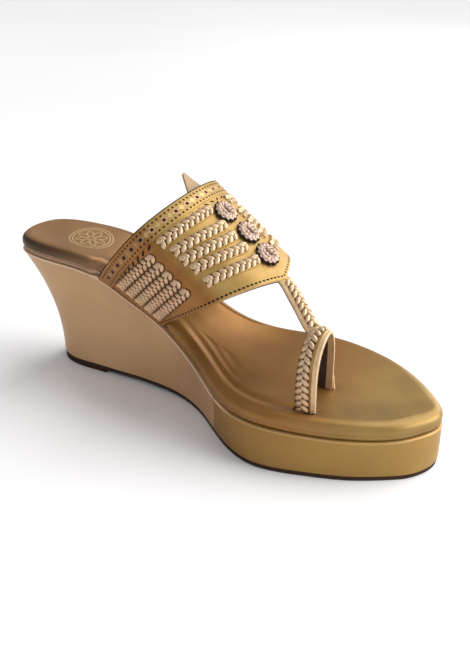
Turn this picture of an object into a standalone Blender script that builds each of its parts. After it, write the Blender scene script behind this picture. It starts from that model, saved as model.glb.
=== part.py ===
"""Wedge kolhapuri sandal, left foot.

A leather-wrapped wedge on a rubber sole carries a padded footbed.  The upper is one broad
instep band, a centre strap and a toe loop, joined where they cross, with raised braids.

Sizes are in millimetres in a working frame: x runs from the heel to the toe, y from the
medial (big toe) side, which is negative, to the lateral side, and z up from the floor.
make_node() turns them into metres and puts the origin at the bottom centre of the sandal.
"""
import math

import bmesh
import bpy
import numpy as np

METRES = 0.001
ORIGIN = np.array((122.1, 0.4, 0.0))   # bottom centre of the sandal in the working frame
GAP = 0.3                              # clearance between neighbouring pieces

# --- the last: plan outline of the insole board and height of its underside -------------
HEEL_END = (1.3, -4.1)
TOE_END = (242.4, 4.5)
LAST_SECTIONS = (
    # x,   medial, lateral, underside
    (5.6, -18.0, 9.5, 69.9),
    (14.8, -22.6, 16.7, 69.4),
    (30.0, -22.8, 21.8, 68.3),
    (58.0, -19.2, 26.2, 63.6),
    (75.0, -17.4, 28.2, 54.9),
    (92.0, -13.4, 30.3, 43.0),
    (115.0, -17.4, 35.0, 28.1),
    (140.0, -33.6, 41.4, 22.2),
    (165.0, -42.7, 44.8, 23.1),
    (190.0, -38.9, 43.1, 22.9),
    (212.0, -30.4, 35.4, 22.4),
    (228.0, -20.0, 24.0, 22.1),
    (236.0, -10.4, 16.0, 21.9),
)

# --- the ground outline of the wedge -----------------------------------------------------
SOLE_HEEL_END = (15.8, 1.3)
SOLE_TOE_END = (243.1, 2.9)
SOLE_SECTIONS = (
    # x,   medial, lateral
    (19.0, -6.6, 8.7),
    (30.0, -12.5, 14.3),
    (46.0, -12.6, 17.0),
    (61.0, -12.0, 18.6),
    (76.0, -11.2, 20.3),
    (92.0, -11.8, 23.6),
    (115.0, -16.3, 31.6),
    (140.0, -33.2, 41.0),
    (165.0, -44.4, 44.8),
    (190.0, -39.6, 43.0),
    (212.0, -31.0, 36.2),
    (228.0, -21.0, 25.2),
    (236.5, -13.6, 19.6),
)
RAKE_LENGTH = 76.0          # the heel's side walls lean forward over this length
FLARE_POWER = 2.1           # the walls hang nearly plumb at the ground and flare at the top
WEDGE_LEVELS = (0.0, 0.25, 0.45, 0.62, 0.78, 0.9, 0.985)
TOP_EDGE_ROUND = 0.7
WRAP_SEAM_X = 136.5         # where the heel's wrap meets the platform's wrap

# --- rubber ------------------------------------------------------------------------------
HEEL_LIFT_THICKNESS = 1.5
HEEL_LIFT_LENGTH_X = 53.0
OUTSOLE_THICKNESS = 2.4
OUTSOLE_INSET = 0.7
ARCH_FALL = (92.0, 122.0)   # the outsole comes down to the floor between these x
PLATFORM_EDGE_INSET = 0.4

# --- insole board and footbed pad: profiles up the side ----------------------------------
BOARD_PROFILE = (
    # inset, height
    (1.6, 0.0),
    (1.3, 0.6),
    (1.3, 2.0),
    (1.6, 2.6),
)
PAD_PROFILE = (
    # inset, height
    (0.9, 0.0),
    (0.3, 1.0),
    (0.3, 2.2),
    (1.1, 3.9),
    (2.8, 5.1),
    (5.2, 5.6),
)
PAD_TOP = (
    # share of the way from the crest to the core line, height
    (0.18, 5.2),
    (0.42, 4.6),
)
PAD_CENTRE_HEIGHT = 4.3
PAD_CORE_SHRINK = 0.8                       # the core line is this much of the last's length
BOARD_THICKNESS = BOARD_PROFILE[-1][1]

# --- the instep band ---------------------------------------------------------------------
WALL = 2.2                                  # leather and lining together
BAND_FOOT_REAR = {-1: (58.0, -18.4, 63.7), 1: (58.0, 26.6, 63.7)}
BAND_FOOT_FRONT = {-1: (93.2, -12.6, 42.2), 1: (93.2, 30.0, 42.2)}
BAND_TOP_REAR = (103.4, 10.0, 113.7)
BAND_TIP = (161.5, -4.8, 83.2)
ARCH_REACH = 35.3                           # widest half-width of the rear edge's arch
ARCH_EQUATOR = 42.6                         # how far up the arch that is
FOOT_TWIST_POWER = 1.7                      # how fast the rulings turn away from the foot's
FRONT_EDGE_POWER = 1.3                      # nearly straight front edges that meet in a V
LINING_SHARES = (0.0, 0.35, 0.7, 1.0)       # where the lining's rows lie between the edges
SEARCH_STEPS = 40

BORDER_WIDTH = 9.5
BORDER_STEP = 0.7
STEP_RAMP = 0.7

# --- braids: distance of each braid's middle from the rear edge, at its two ends ---------
SIDE_BRAIDS = (
    # at foot, at top
    (12.9, 15.6),
    (19.1, 21.7),
    (25.3, 27.8),
    (31.4, 33.9),
    (37.4, 40.0),
)
INSTEP_BRAIDS = (
    # at outer end, at ridge
    (13.2, 14.2),
    (20.8, 25.1),
    (27.3, 32.9),
    (33.8, 41.0),
    (42.8, 50.0),
)
SIDE_BRAID_SPAN = (83.6, 47.2)              # girth at the two ends of the side's braids
INSTEP_BRAID_SPAN = (37.8, 10.0)
BRAID_END_RAMP = 0.8
SIDE_STATIONS = 6                           # girth stations along each span of braids
INSTEP_STATIONS = 6
PLAIN_STATION = 41.8                        # on the plain leather between the two spans
BRAID_WIDTH = 5.2
BRAID_HEIGHT = 1.5

# --- centre strap and toe loop: outer leather surface at each edge -----------------------
STRAP_PATH = (
    # x,   y,    z,   width across (x, y, z)
    (154.0, -2.8, 86.2, (0.10, 0.99, -0.10)),
    (161.4, -4.7, 82.2, (0.14, 0.98, -0.12)),
    (167.0, -6.4, 77.2, (0.30, 0.95, -0.08)),
    (174.0, -9.4, 70.8, (0.36, 0.93, -0.02)),
    (180.0, -12.6, 66.1, (0.38, 0.92, 0.04)),
    (185.0, -15.2, 65.0, (0.30, 0.94, 0.10)),
)
STRAP_WIDTH = 7.6
STRAP_BRAID_WIDTH = 5.8
STRAP_BRAID_FROM = 2        # the strap's braid starts clear of the band's tip
LOOP_EDGES = (
    # rear edge (x, y, z),     front edge (x, y, z)
    ((181.0, -30.6, 23.4), (191.5, -30.6, 23.4)),
    ((181.0, -30.6, 32.0), (191.5, -30.6, 32.0)),
    ((180.4, -30.0, 45.0), (191.2, -31.0, 46.0)),
    ((180.0, -27.0, 55.0), (191.0, -29.6, 58.0)),
    ((180.0, -22.0, 62.0), (190.8, -25.0, 65.5)),
    ((180.2, -15.0, 65.0), (190.4, -17.5, 68.2)),
    ((180.6, -8.4, 62.5), (189.8, -10.2, 65.0)),
    ((181.0, -4.6, 55.0), (189.2, -5.4, 57.0)),
    ((181.0, -3.0, 45.0), (188.8, -3.2, 46.0)),
    ((181.0, -3.0, 32.0), (188.8, -3.0, 32.0)),
    ((181.0, -3.0, 23.4), (188.8, -3.0, 23.4)),
)
LOOP_STATIONS = 31
LOOP_BRAID = (0.06, 0.68)   # the loop's braid covers this share of its width, rear to front
FLAT_RISE = 0.02            # a strap with no braid keeps this much, so its rings still match

# --- room in the footbed and insole board for the upper's ends ---------------------------
SLOT_CLEARANCE = 0.35
SLOT_BELOW, SLOT_ABOVE = 4.0, 20.0          # from the end of the loop's leg
ROOM_STATIONS = (84.2, 77.0, 70.0)          # girths up each foot of the band
ROOM_BELOW = 4.0
ROOM_OUTWARDS = 14.0
ROOM_END_GAP = 0.6
ROOM_INNER_GAP = 0.7                        # between the lining and the footbed

# --- rosettes and ear tab ----------------------------------------------------------------
ROSETTES = {
    # girth, distance from the rear edge
    "rosette_rear": (0.4, 20.3),
    "rosette_mid": (2.2, 36.5),
    "rosette_front": (0.9, 51.9),
}
ROSETTE_RADIUS = 7.0
ROSETTE_SCALLOPS = 14
ROSETTE_SCALLOP_DEPTH = 0.07
ROSETTE_PROFILE = (
    # share of radius, height
    (0.90, 0.0),
    (1.00, 0.9),
    (0.97, 2.0),
    (0.82, 2.7),
    (0.60, 2.2),
    (0.42, 2.9),
    (0.26, 2.9),
    (0.12, 2.0),
)
EAR_SECTIONS = (
    # distance from the rear edge, half-width, lift, girth of the middle
    (6.0, 7.0, 0.0, 0.0),
    (0.0, 7.0, 0.0, 0.0),
    (-3.0, 5.4, 0.5, -0.4),
    (-6.0, 3.5, 1.2, -0.9),
    (-9.0, 1.9, 2.1, -1.4),
    (-11.5, 0.5, 3.0, -1.9),
)
EAR_THICKNESS = 1.6

HALF_STATIONS = 40          # stations from heel to toe round each side of the sole's rings
SPLINE_STEPS = 40

MATERIALS = {
    # base colour, metallic, roughness
    "rubber": ((0.035, 0.018, 0.014), 0.0, 0.6),
    "wedge_leather": ((0.42, 0.29, 0.20), 0.5, 0.42),
    "gold_leather": ((0.45, 0.30, 0.12), 0.55, 0.42),
    "footbed_leather": ((0.40, 0.27, 0.11), 0.5, 0.45),
    "braid_leather": ((0.58, 0.42, 0.30), 0.5, 0.4),
}


# ---------------------------------------------------------------------------- curves ----
def second_derivatives(steps, slopes, closed):
    """Second derivatives of a cubic spline, from its knot spacing and chord slopes."""
    count = len(slopes) if closed else len(slopes) + 1
    system = np.zeros((count, count))
    target = np.zeros((count,) + slopes.shape[1:])
    for knot in range(count):
        if not closed and knot in (0, count - 1):
            system[knot, knot] = 1.0
            continue
        before, after = steps[knot - 1], steps[knot]
        system[knot, knot - 1] = before
        system[knot, knot] = 2.0 * (before + after)
        system[knot, (knot + 1) % count] = after
        target[knot] = 6.0 * (slopes[knot] - slopes[knot - 1])
    return np.linalg.solve(system, target)


def spline_value(start, end, bend_start, bend_end, step, share):
    """One cubic span between two knots, at a share of its length."""
    chord = start * (1.0 - share) + end * share
    bow = (share ** 3 - share) * bend_end + ((1.0 - share) ** 3 - (1.0 - share)) * bend_start
    return chord + bow * step * step / 6.0


def smooth_function(knots, values):
    """A natural cubic spline through a table's column, as a function of its first column."""
    knots = np.asarray(knots, float)
    values = np.asarray(values, float)
    steps = np.diff(knots)
    scale = steps.reshape((-1,) + (1,) * (values.ndim - 1))
    bends = second_derivatives(steps, np.diff(values, axis=0) / scale, closed=False)

    def value(x):
        x = min(max(x, knots[0]), knots[-1])
        span = min(int(np.searchsorted(knots, x, side="right")) - 1, len(steps) - 1)
        share = (x - knots[span]) / steps[span]
        return spline_value(
            values[span], values[span + 1], bends[span], bends[span + 1], steps[span], share)

    return value


def closed_curve(points):
    """A dense, smooth closed curve through a few points."""
    points = np.asarray(points, float)
    ahead = np.roll(points, -1, axis=0)
    steps = np.sqrt(np.linalg.norm(ahead - points, axis=1))
    bends = second_derivatives(steps, (ahead - points) / steps[:, None], closed=True)
    curve = []
    for span in range(len(points)):
        for share in np.linspace(0.0, 1.0, SPLINE_STEPS, endpoint=False):
            following = (span + 1) % len(points)
            curve.append(spline_value(
                points[span], points[following], bends[span], bends[following], steps[span], share))
    return np.array(curve)


class Outline:
    """A closed plan outline through a section table, read by side and by x."""

    def __init__(self, sections, heel_end, toe_end):
        medial = [(row[0], row[1]) for row in sections]
        lateral = [(row[0], row[2]) for row in sections]
        curve = closed_curve([heel_end] + medial + [toe_end] + lateral[::-1])
        curve = np.roll(curve, -int(curve[:, 0].argmin()), axis=0)
        toe = int(curve[:, 0].argmax())
        self.start = curve[0]
        self.end = curve[toe]
        self.sides = {-1: curve[:toe + 1], 1: np.vstack([curve[toe:], curve[:1]])[::-1]}

    def across(self, side, x):
        points = self.sides[side]
        return float(np.interp(x, points[:, 0], points[:, 1]))


LAST = Outline(LAST_SECTIONS, HEEL_END, TOE_END)
SOLE = Outline(SOLE_SECTIONS, SOLE_HEEL_END, SOLE_TOE_END)
underside = smooth_function([row[0] for row in LAST_SECTIONS], [row[3] for row in LAST_SECTIONS])


# ------------------------------------------------------------------------------ rings ----
def last_stations():
    """x of the ring's stations, closer together towards the round heel and toe."""
    middle = (LAST.start[0] + LAST.end[0]) / 2.0
    half = (LAST.end[0] - LAST.start[0]) / 2.0
    angles = [math.pi * k / HALF_STATIONS for k in range(HALF_STATIONS + 1)]
    return [middle - half * math.cos(angle) for angle in angles]


def sole_station(x):
    """The ground station under a station of the last: the heel and toe walls lean forward."""
    from_heel = max(0.0, 1.0 - (x - LAST.start[0]) / RAKE_LENGTH)
    from_toe = max(0.0, 1.0 - (LAST.end[0] - x) / RAKE_LENGTH)
    heel_rake = SOLE.start[0] - LAST.start[0]
    toe_rake = SOLE.end[0] - LAST.end[0]
    return x + heel_rake * from_heel ** 2 + toe_rake * from_toe ** 2


def plan_ring(outline, stations):
    """Ring of plan points: heel, medial side, toe, lateral side back to the heel."""
    medial = [(x, outline.across(-1, x)) for x in stations[1:-1]]
    lateral = [(x, outline.across(1, x)) for x in stations[1:-1]]
    return np.array([tuple(outline.start)] + medial + [tuple(outline.end)] + lateral[::-1])


def inset_ring(ring, inset):
    """The ring moved inwards along its own normals."""
    tangent = np.roll(ring, -1, axis=0) - np.roll(ring, 1, axis=0)
    tangent /= np.linalg.norm(tangent, axis=1)[:, None]
    inward = np.stack([-tangent[:, 1], tangent[:, 0]], axis=1)
    return ring + inward * inset


def lift_ring(ring, height_of):
    """Plan ring to 3-D ring, its height read from a function of x."""
    return np.array([(x, y, height_of(x)) for x, y in ring])


LAST_RING = plan_ring(LAST, last_stations())
SOLE_RING = plan_ring(SOLE, [sole_station(x) for x in last_stations()])


# ------------------------------------------------------------------------------ nodes ----
def clear_scene():
    for item in list(bpy.data.objects):
        bpy.data.objects.remove(item, do_unlink=True)


def material(name):
    if name in bpy.data.materials:
        return bpy.data.materials[name]
    colour, metallic, roughness = MATERIALS[name]
    made = bpy.data.materials.new(name)
    made.use_nodes = True
    shader = made.node_tree.nodes["Principled BSDF"]
    shader.inputs["Base Color"].default_value = (*colour, 1.0)
    shader.inputs["Metallic"].default_value = metallic
    shader.inputs["Roughness"].default_value = roughness
    return made


def make_node(name, mesh_builder, material_name):
    """An object from a bmesh in working millimetres, facing out and smooth shaded."""
    for vertex in mesh_builder.verts:
        vertex.co = (np.array(vertex.co) - ORIGIN) * METRES
    bmesh.ops.triangulate(mesh_builder, faces=mesh_builder.faces)
    bmesh.ops.recalc_face_normals(mesh_builder, faces=mesh_builder.faces)
    mesh = bpy.data.meshes.new(name)
    mesh_builder.to_mesh(mesh)
    mesh_builder.free()
    mesh.materials.append(material(material_name))
    mesh.shade_smooth()
    mesh.set_sharp_from_angle(angle=math.radians(35.0))
    node = bpy.data.objects.new(name, mesh)
    bpy.context.scene.collection.objects.link(node)
    return node


def make_helper(name, mesh_builder):
    """A solid that only cuts another piece, or is joined to it."""
    helper = make_node(name, mesh_builder, "gold_leather")
    helper.hide_render = True
    helper.display_type = "WIRE"
    return helper


def combine(node, helper, operation):
    modifier = node.modifiers.new(f"{operation.lower()} {helper.name}", "BOOLEAN")
    modifier.operation = operation
    modifier.solver = "EXACT"
    modifier.object = helper


def add_loft(builder, rings):
    """Quads between neighbouring closed rings of points."""
    rows = [[builder.verts.new(point) for point in ring] for ring in rings]
    for lower, upper in zip(rows, rows[1:]):
        for k in range(len(lower)):
            following = (k + 1) % len(lower)
            builder.faces.new((lower[k], lower[following], upper[following], upper[k]))
    return rows


def cap_ring(builder, ring, height_of):
    """Close a ring with a spine of points from heel to toe, at a height read from x."""
    half = len(ring) // 2
    spine = {0: ring[0], half: ring[half]}
    for k in range(1, half):
        middle = (ring[k].co + ring[-k].co) / 2.0
        spine[k] = builder.verts.new((middle.x, middle.y, height_of(middle.x)))
    for k in range(half):
        for edge in ((ring[k], ring[k + 1]), (ring[-k], ring[-k - 1])):
            corners = [edge[0], edge[1], spine[k + 1], spine[k]]
            unique = list(dict.fromkeys(corners))
            builder.faces.new(unique)


def ring_solid(rings, bottom_height, top_height):
    """A closed solid lofted through rings, from its underside's to its top's."""
    builder = bmesh.new()
    rows = add_loft(builder, rings)
    cap_ring(builder, rows[0], bottom_height)
    cap_ring(builder, rows[-1], top_height)
    return builder


def keep_side(builder, x, keep_rear):
    """Cut a solid at a plane across the sandal and keep the part behind or before it."""
    geometry = builder.verts[:] + builder.edges[:] + builder.faces[:]
    result = bmesh.ops.bisect_plane(
        builder, geom=geometry, plane_co=(x, 0.0, 0.0), plane_no=(1.0, 0.0, 0.0), dist=1e-6,
        clear_outer=keep_rear, clear_inner=not keep_rear)
    rim = [item for item in result["geom_cut"] if isinstance(item, bmesh.types.BMEdge)]
    bmesh.ops.contextual_create(builder, geom=rim)
    return builder


# --------------------------------------------------------------------------- the sole ----
def outsole_underside(x):
    """Height of the outsole's underside: it rides on the heel lift, then meets the floor."""
    start, end = ARCH_FALL
    share = min(max((x - start) / (end - start), 0.0), 1.0)
    return (HEEL_LIFT_THICKNESS + GAP) * (1.0 + math.cos(math.pi * share)) / 2.0


def outsole_top(x):
    return outsole_underside(x) + OUTSOLE_THICKNESS


def wedge_bottom(x):
    return outsole_top(x) + GAP


def wedge_top(x):
    return underside(x) - GAP


def make_heel_lift():
    ring = inset_ring(SOLE_RING, OUTSOLE_INSET)
    rings = [lift_ring(ring, lambda x: 0.0), lift_ring(ring, lambda x: HEEL_LIFT_THICKNESS)]
    solid = ring_solid(rings, lambda x: 0.0, lambda x: HEEL_LIFT_THICKNESS)
    return make_node("heel_lift", keep_side(solid, HEEL_LIFT_LENGTH_X, keep_rear=True), "rubber")


def make_outsole():
    ring = inset_ring(SOLE_RING, OUTSOLE_INSET)
    rings = [lift_ring(ring, outsole_underside), lift_ring(ring, outsole_top)]
    return make_node("outsole", ring_solid(rings, outsole_underside, outsole_top), "rubber")


def wedge_ring(level):
    """Ring of the wrapped wedge at a share of its height, with its flared walls."""
    lean = 1.0 - level ** FLARE_POWER
    bottom = inset_ring(SOLE_RING, PLATFORM_EDGE_INSET)
    plan = LAST_RING * (1.0 - lean) + bottom * lean
    low = np.array([wedge_bottom(x) for x, y in bottom])
    high = np.array([wedge_top(x) for x, y in LAST_RING])
    return np.column_stack([plan, low * (1.0 - level) + high * level])


def wedge_solid():
    top = lift_ring(inset_ring(LAST_RING, TOP_EDGE_ROUND), wedge_top)
    rings = [wedge_ring(level) for level in WEDGE_LEVELS] + [top]
    return ring_solid(rings, wedge_bottom, wedge_top)


def make_wedge_and_platform():
    wedge = keep_side(wedge_solid(), WRAP_SEAM_X - GAP / 2.0, keep_rear=True)
    make_node("wedge", wedge, "wedge_leather")
    platform = keep_side(wedge_solid(), WRAP_SEAM_X + GAP / 2.0, keep_rear=False)
    make_node("platform", platform, "gold_leather")


def profile_rings(profile, base):
    """Rings up a side profile of (inset, height) rows, standing on a base height."""
    return [
        lift_ring(inset_ring(LAST_RING, inset), lambda x, rise=height: base(x) + rise)
        for inset, height in profile]


def make_insole_board():
    solid = ring_solid(
        profile_rings(BOARD_PROFILE, underside), underside, lambda x: underside(x) + BOARD_THICKNESS)
    return make_node("insole_board", solid, "footbed_leather")


def pad_base(x):
    return underside(x) + BOARD_THICKNESS + GAP


def pad_top_ring(share, height):
    """Ring on the pad's dished top, part of the way from its crest to the core line."""
    crest = inset_ring(LAST_RING, PAD_PROFILE[-1][0])
    middle = (LAST.start[0] + LAST.end[0]) / 2.0
    paired = np.roll(crest[::-1], 1, axis=0)
    core = (crest + paired) / 2.0
    core[:, 0] = middle + (core[:, 0] - middle) * PAD_CORE_SHRINK
    return lift_ring(crest + (core - crest) * share, lambda x: pad_base(x) + height)


def make_footbed():
    rings = profile_rings(PAD_PROFILE, pad_base) + [pad_top_ring(*row) for row in PAD_TOP]
    solid = ring_solid(rings, pad_base, lambda x: pad_base(x) + PAD_CENTRE_HEIGHT)
    return make_node("footbed", solid, "footbed_leather")


# ------------------------------------------------------------------- the instep band ----
class InstepBand:
    """The band's outer surface: straight rulings from an arched rear edge to the front.

    girth is measured along the rear edge from the ridge, negative to the medial side;
    reach is measured along a ruling from the rear edge towards the toe.
    """

    TAIL = 8.0              # the arch is worked out this far past its feet
    STEPS = 120
    NORMAL_STEP = 0.5       # the surface's slope across a ruling is read over this girth

    def __init__(self):
        self.top = np.array(BAND_TOP_REAR)
        feet = [np.array(BAND_FOOT_REAR[side]) for side in (-1, 1)]
        self.foot_middle = (feet[0] + feet[1]) / 2.0
        self.foot_half = (feet[1][1] - feet[0][1]) / 2.0
        self.ridge_line = np.array(BAND_TIP) - self.top
        self.foot_line = {
            side: np.array(BAND_FOOT_FRONT[side]) - np.array(BAND_FOOT_REAR[side]) for side in (-1, 1)}
        self.arms = {side: self.arm(side) for side in (-1, 1)}
        self.arm_length = {side: self.foot_girth(side) for side in (-1, 1)}

    def arch_point(self, side, rise, height):
        """Point of the rear edge at a rise up the leaning arch."""
        up = (self.top - self.foot_middle) / height
        if rise < ARCH_EQUATOR:
            share = 1.0 - rise / ARCH_EQUATOR
            half = self.foot_half + (ARCH_REACH - self.foot_half) * (1.0 - share ** 2)
        else:
            share = (rise - ARCH_EQUATOR) / (height - ARCH_EQUATOR)
            half = ARCH_REACH * math.sqrt(max(0.0, 1.0 - share ** 2))
        return self.foot_middle + up * rise + np.array((0.0, side * half, 0.0))

    def arm(self, side):
        """Girth and points of one half of the rear edge, from the ridge down."""
        height = float(np.linalg.norm(self.top - self.foot_middle))
        angles = np.linspace(math.pi / 2.0, 0.0, self.STEPS)
        rises = [ARCH_EQUATOR + (height - ARCH_EQUATOR) * math.sin(angle) for angle in angles]
        rises += list(np.linspace(ARCH_EQUATOR, -self.TAIL, self.STEPS)[1:])
        points = np.array([self.arch_point(side, rise, height) for rise in rises])
        girths = np.concatenate([[0.0], np.cumsum(np.linalg.norm(np.diff(points, axis=0), axis=1))])
        return girths, points, np.array(rises)

    def foot_girth(self, side):
        girths, points, rises = self.arms[side]
        return float(np.interp(0.0, rises[::-1], girths[::-1]))

    def rear_edge(self, girth):
        girths, points, rises = self.arms[1 if girth > 0.0 else -1]
        return np.array([np.interp(abs(girth), girths, points[:, axis]) for axis in range(3)])

    def ruling(self, girth):
        side = 1 if girth > 0.0 else -1
        at_foot = self.foot_line[side] / np.linalg.norm(self.foot_line[side])
        at_ridge = self.ridge_line / np.linalg.norm(self.ridge_line)
        share = min(1.0, abs(girth) / self.arm_length[side]) ** FOOT_TWIST_POWER
        line = at_foot * share + at_ridge * (1.0 - share)
        return line / np.linalg.norm(line)

    def front(self, girth):
        """Length of the ruling at a girth: longest at the ridge, where the front is a V."""
        side = 1 if girth > 0.0 else -1
        at_foot = np.linalg.norm(self.foot_line[side])
        at_ridge = np.linalg.norm(self.ridge_line)
        share = max(0.0, 1.0 - abs(girth) / self.arm_length[side]) ** FRONT_EDGE_POWER
        return float(at_foot + (at_ridge - at_foot) * share)

    def surface(self, girth, reach):
        return self.rear_edge(girth) + self.ruling(girth) * reach

    def point(self, girth, reach, height):
        """Point at a height above the outer surface; the ridge is smooth across girth 0."""
        step = self.NORMAL_STEP
        across = self.surface(girth + step, reach) - self.surface(girth - step, reach)
        normal = np.cross(self.ruling(girth), across)
        return self.surface(girth, reach) + normal / np.linalg.norm(normal) * height

    def foot(self, side, reach):
        """Girth at which a line along the band comes down to the insole board's underside."""
        low, high = SIDE_BRAID_SPAN[1], self.arm_length[side] + self.TAIL
        for _ in range(SEARCH_STEPS):
            middle = (low + high) / 2.0
            x, y, z = self.surface(side * middle, reach)
            low, high = (middle, high) if z > underside(x) else (low, middle)
        return side * low


BAND = InstepBand()


def blend(start, end, share):
    return start + (end - start) * min(max(share, 0.0), 1.0)


def braid_middles(girth):
    """Distance of the five braids' middles from the rear edge, at a girth."""
    girth = abs(girth)
    side_foot, side_top = SIDE_BRAID_SPAN
    outer, ridge = INSTEP_BRAID_SPAN
    middles = []
    for side_row, instep_row in zip(SIDE_BRAIDS, INSTEP_BRAIDS):
        on_side = blend(side_row[0], side_row[1], (side_foot - girth) / (side_foot - side_top))
        on_instep = blend(instep_row[0], instep_row[1], (outer - girth) / (outer - ridge))
        middles.append(blend(on_side, on_instep, (side_top - girth) / (side_top - outer)))
    return middles


def band_lines(girth):
    """(reach, braid share, border share) of the lines that run along the band at a girth."""
    lines = [(0.0, 0.0, 1.0), (BORDER_WIDTH - STEP_RAMP, 0.0, 1.0), (BORDER_WIDTH, 0.0, 0.0)]
    for middle in braid_middles(girth):
        for offset, share in ((-0.5, 0.0), (-0.5, 1.0), (0.5, 1.0), (0.5, 0.0)):
            inwards = -math.copysign(STEP_RAMP, offset) * share
            lines.append((middle + offset * BRAID_WIDTH + inwards, share, 0.0))
    lines.append((BAND.front(girth), 0.0, 0.0))
    return lines


def braided(girth):
    """Whether the braids are raised at a girth."""
    spans = (SIDE_BRAID_SPAN, INSTEP_BRAID_SPAN)
    return any(low <= abs(girth) <= high for high, low in spans)


def band_columns():
    """Girth stations from the medial foot over the ridge to the lateral foot."""
    half = []
    for (outer, inner), count in ((SIDE_BRAID_SPAN, SIDE_STATIONS), (INSTEP_BRAID_SPAN, INSTEP_STATIONS)):
        span = list(np.linspace(outer, inner, count))
        half += [outer + BRAID_END_RAMP] + span + [inner - BRAID_END_RAMP]
        if outer == SIDE_BRAID_SPAN[0]:
            half.append(PLAIN_STATION)
    return [-girth for girth in half] + [0.0] + half[::-1]


def outer_column(girth, at_foot):
    """Points of the band's outer face along one station."""
    column = []
    for reach, braid, border in band_lines(girth):
        height = border * BORDER_STEP
        if braided(girth) and not at_foot:
            height += braid * BRAID_HEIGHT
        station = BAND.foot(math.copysign(1.0, girth), reach) if at_foot else girth
        column.append(BAND.point(station, reach, height))
    return column


def inner_column(girth, at_foot):
    """Points of the lining along one station."""
    column = []
    for share in LINING_SHARES:
        reach = BAND.front(girth) * share
        station = BAND.foot(math.copysign(1.0, girth), reach) if at_foot else girth
        column.append(BAND.point(station, reach, -WALL))
    return column


def add_grid(builder, columns):
    rows = [[builder.verts.new(point) for point in column] for column in columns]
    for left, right in zip(rows, rows[1:]):
        for k in range(len(left) - 1):
            builder.faces.new((left[k], left[k + 1], right[k + 1], right[k]))
    return rows


def band_solid():
    girths = band_columns()
    stations = [(girths[0], True)] + [(girth, False) for girth in girths] + [(girths[-1], True)]
    builder = bmesh.new()
    outer = add_grid(builder, [outer_column(*station) for station in stations])
    inner = add_grid(builder, [inner_column(*station) for station in stations])
    for k in range(len(stations) - 1):
        for edge in (0, -1):
            builder.faces.new((outer[k][edge], inner[k][edge], inner[k + 1][edge], outer[k + 1][edge]))
    for end in (0, -1):
        builder.faces.new(outer[end] + inner[end][::-1])
    return builder


# ----------------------------------------------------------- centre strap and toe loop ----
def ribbon_section(middle, along, across, width, braid, braid_height):
    """Cross-section of a strap: a flat leather with a raised braid on its outer face."""
    across = across / np.linalg.norm(across)
    outwards = np.cross(across, along)
    outwards /= np.linalg.norm(outwards)
    start, end = [(share - 0.5) * width for share in braid]
    rise = max(braid_height, FLAT_RISE)
    profile = (
        (-width / 2.0, -WALL), (-width / 2.0, 0.0), (start, 0.0), (start + STEP_RAMP, rise),
        (end - STEP_RAMP, rise), (end, 0.0), (width / 2.0, 0.0), (width / 2.0, -WALL))
    return [middle + across * offset + outwards * height for offset, height in profile]


def ribbon_solid(sections):
    builder = bmesh.new()
    rows = add_loft(builder, sections)
    builder.faces.new(rows[0])
    builder.faces.new(rows[-1])
    return builder


def directions(points):
    """Direction of travel at each point of a path."""
    ahead = np.vstack([points[1:], points[-1:]])
    behind = np.vstack([points[:1], points[:-1]])
    travel = ahead - behind
    return travel / np.linalg.norm(travel, axis=1)[:, None]


def centre_strap_solid():
    path = np.array([row[:3] for row in STRAP_PATH])
    braid_share = STRAP_BRAID_WIDTH / STRAP_WIDTH
    braid = (0.5 - braid_share / 2.0, 0.5 + braid_share / 2.0)
    sections = []
    for index, (row, along) in enumerate(zip(STRAP_PATH, directions(path))):
        height = BRAID_HEIGHT if index >= STRAP_BRAID_FROM else 0.0
        sections.append(ribbon_section(
            np.array(row[:3]), along, -np.array(row[3]), STRAP_WIDTH, braid, height))
    return ribbon_solid(sections)


def toe_loop_solid():
    rows = np.array(LOOP_EDGES).reshape(len(LOOP_EDGES), 6)
    knots = np.arange(len(rows), dtype=float)
    edges = smooth_function(knots, rows)
    shares = np.linspace(0.0, knots[-1], LOOP_STATIONS)
    stations = np.array([edges(share).reshape(2, 3) for share in shares])
    middles = stations.mean(axis=1)
    sections = []
    for (rear, front), middle, along in zip(stations, middles, directions(middles)):
        width = float(np.linalg.norm(front - rear))
        sections.append(ribbon_section(middle, along, front - rear, width, LOOP_BRAID, BRAID_HEIGHT))
    return ribbon_solid(sections)


def make_upper():
    upper = make_node("upper", band_solid(), "gold_leather")
    combine(upper, make_helper("centre_strap_form", centre_strap_solid()), "UNION")
    combine(upper, make_helper("toe_loop_form", toe_loop_solid()), "UNION")
    return upper


# ------------------------------------------- room in the footbed for the upper's ends ----
def band_foot_room(side):
    """Solid outside the lining's face at one foot of the band, past the footbed's edge."""
    length = BAND.front(side * ROOM_STATIONS[0])
    reaches = [length * share + ROOM_END_GAP * (2.0 * share - 1.0) for share in LINING_SHARES]
    columns = [[(BAND.foot(side, reach) + side * ROOM_BELOW, reach) for reach in reaches]]
    columns += [[(side * girth, reach) for reach in reaches] for girth in ROOM_STATIONS]
    inner, outer = -(WALL + ROOM_INNER_GAP), ROOM_OUTWARDS
    builder = bmesh.new()
    low = add_grid(builder, [[BAND.point(*place, inner) for place in column] for column in columns])
    high = add_grid(builder, [[BAND.point(*place, outer) for place in column] for column in columns])
    for k in range(len(columns) - 1):
        for edge in (0, -1):
            builder.faces.new((low[k][edge], high[k][edge], high[k + 1][edge], low[k + 1][edge]))
    for end in (0, -1):
        for k in range(len(low[end]) - 1):
            builder.faces.new((low[end][k], high[end][k], high[end][k + 1], low[end][k + 1]))
    return make_helper(f"band_room_{'medial' if side < 0 else 'lateral'}", builder)


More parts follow.
